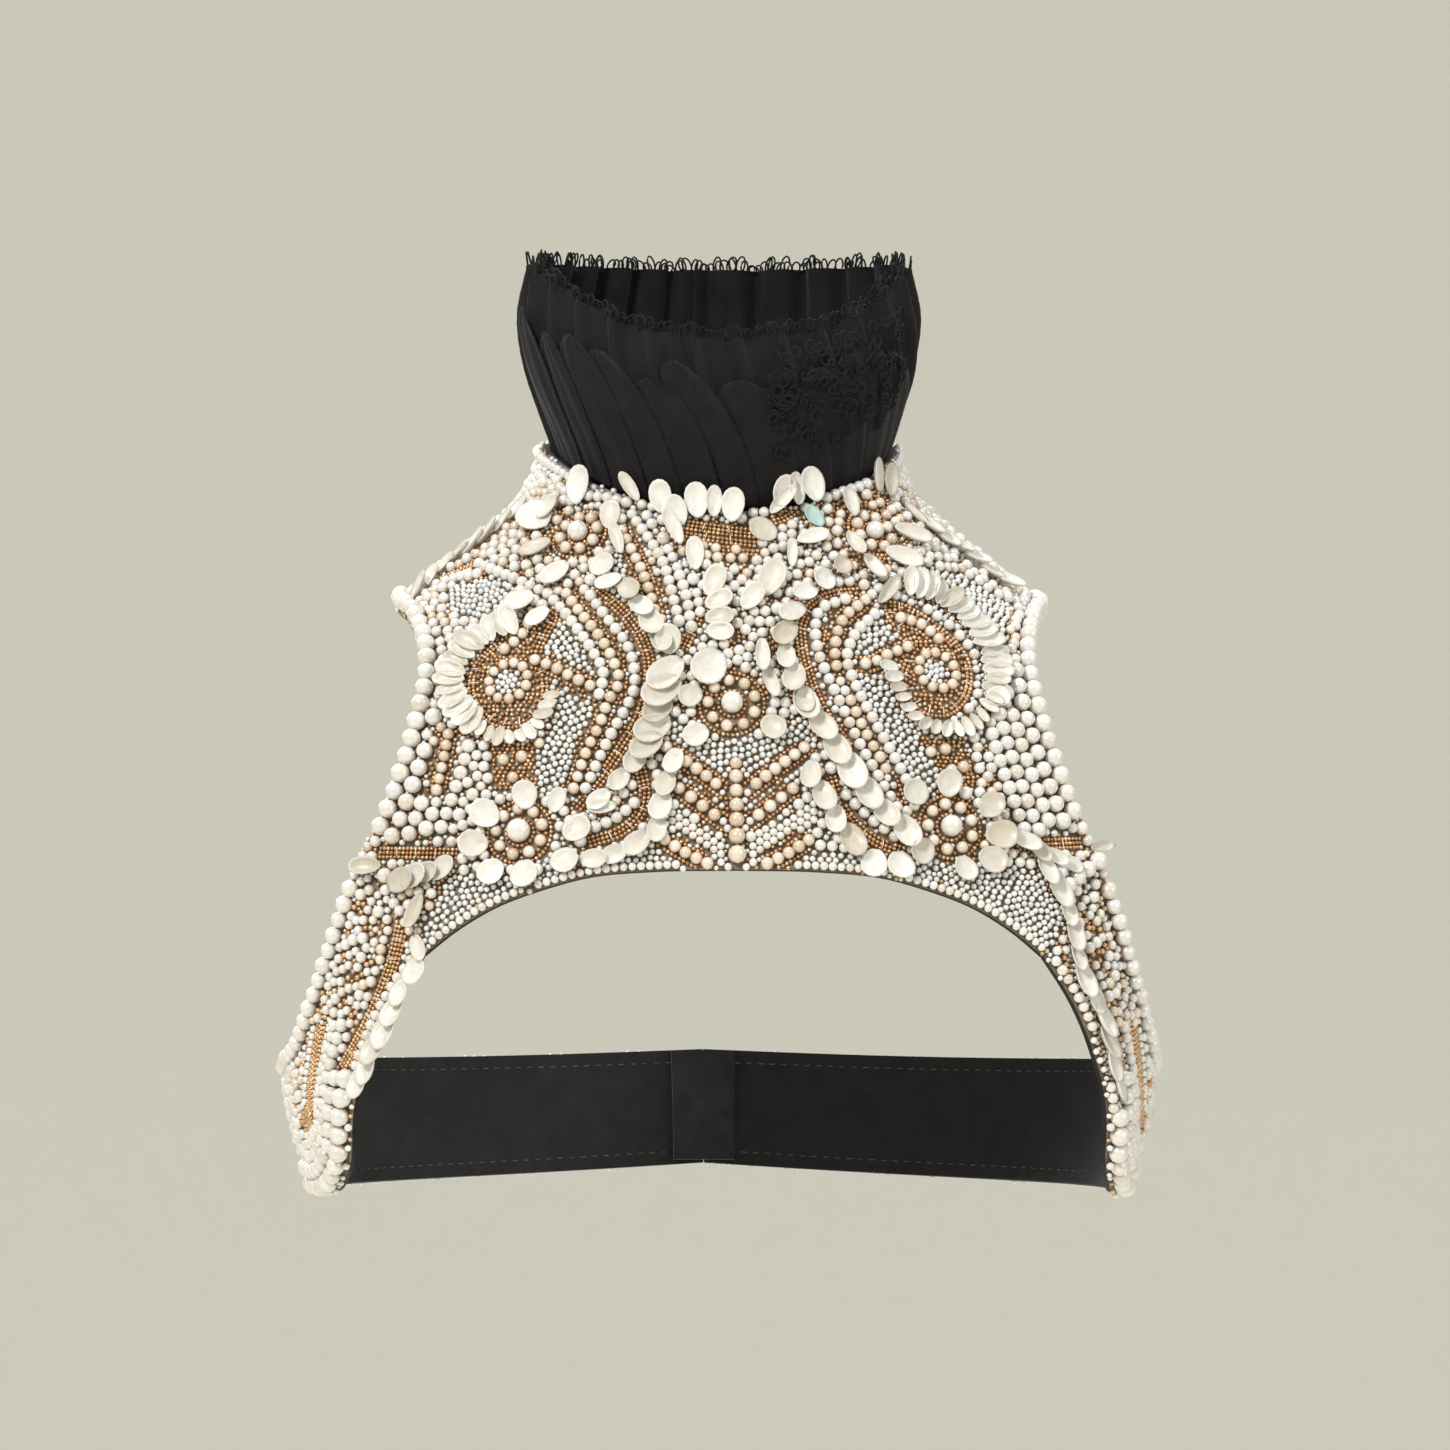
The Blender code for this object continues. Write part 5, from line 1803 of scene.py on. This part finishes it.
def tube_faces(steps):
    """Faces of a closed cord."""
    sides = CORD_SIDES
    faces = [tuple(range(sides - 1, -1, -1)), tuple((steps - 1) * sides + side for side in range(sides))]
    for step in range(steps - 1):
        for side in range(sides):
            following = (side + 1) % sides
            low = step * sides
            faces.append((low + side, low + following, low + sides + following, low + sides + side))
    return faces


# The stage

def link(name, data):
    """A new object in the scene."""
    item = bpy.data.objects.new(name, data)
    bpy.context.scene.collection.objects.link(item)
    return item


def aim(item, location, target):
    """Put a light or the camera at a place, looking at a target."""
    item.location = location
    item.rotation_euler = (Vector(target) - Vector(location)).to_track_quat("-Z", "Y").to_euler()


def add_stage():
    """A pale bowl that is floor and backdrop in one."""
    profile = list(STAGE_FLOOR_RINGS)
    for turn in STAGE_BEND_TURNS:
        profile.append((STAGE_FLAT + STAGE_BEND * math.sin(turn), STAGE_BEND * (1 - math.cos(turn))))
    profile.extend(STAGE_WALL_RINGS)
    form = bmesh.new()
    centre = form.verts.new((0, 0, STAGE_FLOOR))
    rings = []
    for reach, height in profile:
        ring = []
        for side in range(STAGE_TURNS):
            turn = 2 * math.pi * side / STAGE_TURNS
            point = (reach * math.cos(turn), reach * math.sin(turn), STAGE_FLOOR + height)
            ring.append(form.verts.new(point))
        rings.append(ring)
    for side in range(STAGE_TURNS):
        following = (side + 1) % STAGE_TURNS
        form.faces.new((centre, rings[0][side], rings[0][following]))
        for low, high in zip(rings, rings[1:]):
            form.faces.new((low[side], high[side], high[following], low[following]))
    mesh = bpy.data.meshes.new("stage")
    form.to_mesh(mesh)
    form.free()
    mesh.shade_smooth()
    mesh.materials.append(new_material("pale_wall", {"Base Color": (*STAGE_COLOUR, 1), "Roughness": 0.9}))
    link("stage", mesh)


def add_world():
    """Even pale light from all round."""
    world = bpy.data.worlds.new("studio")
    world.use_nodes = True
    background = world.node_tree.nodes["Background"]
    background.inputs["Color"].default_value = WORLD_COLOUR
    background.inputs["Strength"].default_value = WORLD_LIGHT
    bpy.context.scene.world = world


def add_lights():
    """A key from the upper left, a fill from the right, a top light and a rim from behind."""
    for light in LIGHTS:
        data = bpy.data.lights.new(light.name, "AREA")
        data.shape = "SQUARE"
        data.size = light.size
        data.energy = light.watts
        data.color = light.colour
        aim(link(light.name, data), light.location, LIGHT_TARGET)


def add_camera():
    """The photograph's station and direction, closed in on the neckpiece."""
    turn = math.radians(CAMERA_TURN)
    data = bpy.data.cameras.new("camera")
    data.lens = CAMERA_LENS
    data.sensor_width = SENSOR
    data.clip_end = CAMERA_END
    camera = link("camera", data)
    location = (CAMERA_DISTANCE * math.sin(turn), -CAMERA_DISTANCE * math.cos(turn), CAMERA_HEIGHT)
    aim(camera, location, CAMERA_AIM)
    bpy.context.scene.camera = camera


# Cloth pieces and their cut

def longest_row(rows, outline):
    """Length of the longest of some rows of places inside an outline, in metres."""
    longest = 0.0
    for across, heights in rows:
        row = np.column_stack((across, heights))
        row = row[inside(flat_place(row), flat_place(outline))]
        if len(row) > 1:
            longest = max(longest, edge_lengths(row)[-1])
    return longest * MM


def flat_cut(outline):
    """Width and length of the flat piece that a panel is cut from, in metres."""
    low = outline.min(axis=0)
    high = outline.max(axis=0)
    angles, heights = np.linspace(low, high, CUT_POINTS).T
    some_angles, some_heights = np.linspace(low, high, CUT_ROWS)[1:-1].T
    width = longest_row([(angles, np.full(CUT_POINTS, height)) for height in some_heights], outline)
    length = longest_row([(np.full(CUT_POINTS, angle), heights) for angle in some_angles], outline)
    return width, length


def declare_sheet(flat):
    """Work out the area of the rectangle that a piece is cut from; nothing is done with it."""
    box = flat[0] * flat[1]


# The outline of the left piece of each pair
PAIRS = {
    "side_band": side_band_outline,
    "back_yoke": lambda: back_outline(NECKLINE, BACK_HEM),
    "back_band": lambda: back_outline(BAND_TOP, BAND_LOW),
}


def add_panels(material):
    """The ground cloth of all the panels: the front yoke and three mirrored pairs."""
    mesh = panel_mesh("yoke_cloth", yoke_outline())
    yoke = add_piece("yoke_cloth", mesh, material, "beaded_cloth", "front_yoke")
    declare_sheet(flat_cut(yoke_outline()))
    for name, outline in PAIRS.items():
        left = panel_mesh(f"{name}_cloth", outline())
        right = flipped(left, f"{name}_cloth_other")
        for mesh, side in zip((left, right), SIDES):
            piece = add_piece(f"{name}_{side}_cloth", mesh, material, "beaded_cloth", f"{name}_{side}")
            declare_sheet(flat_cut(outline()))


def add_underlaps(material):
    """The two underlaps at the centre back."""
    rows = (
        ("yoke_underlap", BACK_HEM[-1].height, NECKLINE[-1].height - COLLAR_TUCK),
        ("band_underlap", BAND_LOW[-1].height, BAND_TOP[-1].height),
    )
    for name, low, top in rows:
        piece = add_piece(f"{name}_tape", underlap_mesh(name, low, top), material, "black_tape", name)
        length = top - low - 2 * UNDERLAP_INSET
        declare_sheet((UNDERLAP_WIDTH * MM, length * MM))


def add_collar(material):
    """The pleated collar with its loose folds, its lace curls and its picot rim."""
    collar = add_piece("collar_cloth", collar_mesh("collar_cloth"), material, "black_cloth", "pleated_collar")
    folds = add_piece("collar_folds", fold_mesh(), material, "black_cloth")
    curls = add_piece("collar_curls", curl_mesh(), material, "black_cloth")
    picots = add_piece("collar_picots", picot_mesh(), material, "black_cloth")
    length = (COLLAR_TOP[-1].height - NECKLINE[-1].height + COLLAR_TUCK) * MM


def add_beadwork():
    """The beads, petals and stitches of every piece."""
    kinds = bead_kinds()
    yoke = Sewing(yoke_outline())
    yoke_embroidery(yoke, yoke_outline())
    lining_stitches(yoke, yoke_outline())
    add_beads("yoke", yoke, kinds)
    for pair, pair_outline in PAIRS.items():
        for side, name in zip((1, -1), SIDES):
            outline = pair_outline() if side > 0 else mirrored(pair_outline())
            if pair == "side_band":
                # The band's beads take a narrower tint range: painted shade that makes its white pearls
                # tanner.
                work = Sewing(outline, BAND_PAINTED_SHADE_TINTS, yoke.cells)
                band_embroidery(work, outline, side)
            else:
                work = Sewing(outline)
                back_embroidery(work, outline)
            lining_stitches(work, outline)
            add_beads(f"{pair}_{name}", work, kinds)


def build():
    """Build the looks of the neckpiece."""
    bpy.context.scene.view_settings.view_transform = "Standard"
    add_camera()
    add_stage()
    add_world()
    add_lights()
    net, lining, georgette, tape = (cloth_material(*cloth) for cloth in CLOTHS)
    add_panels((net, lining))
    add_underlaps(tape)
    add_collar(georgette)
    add_beadwork()


build()
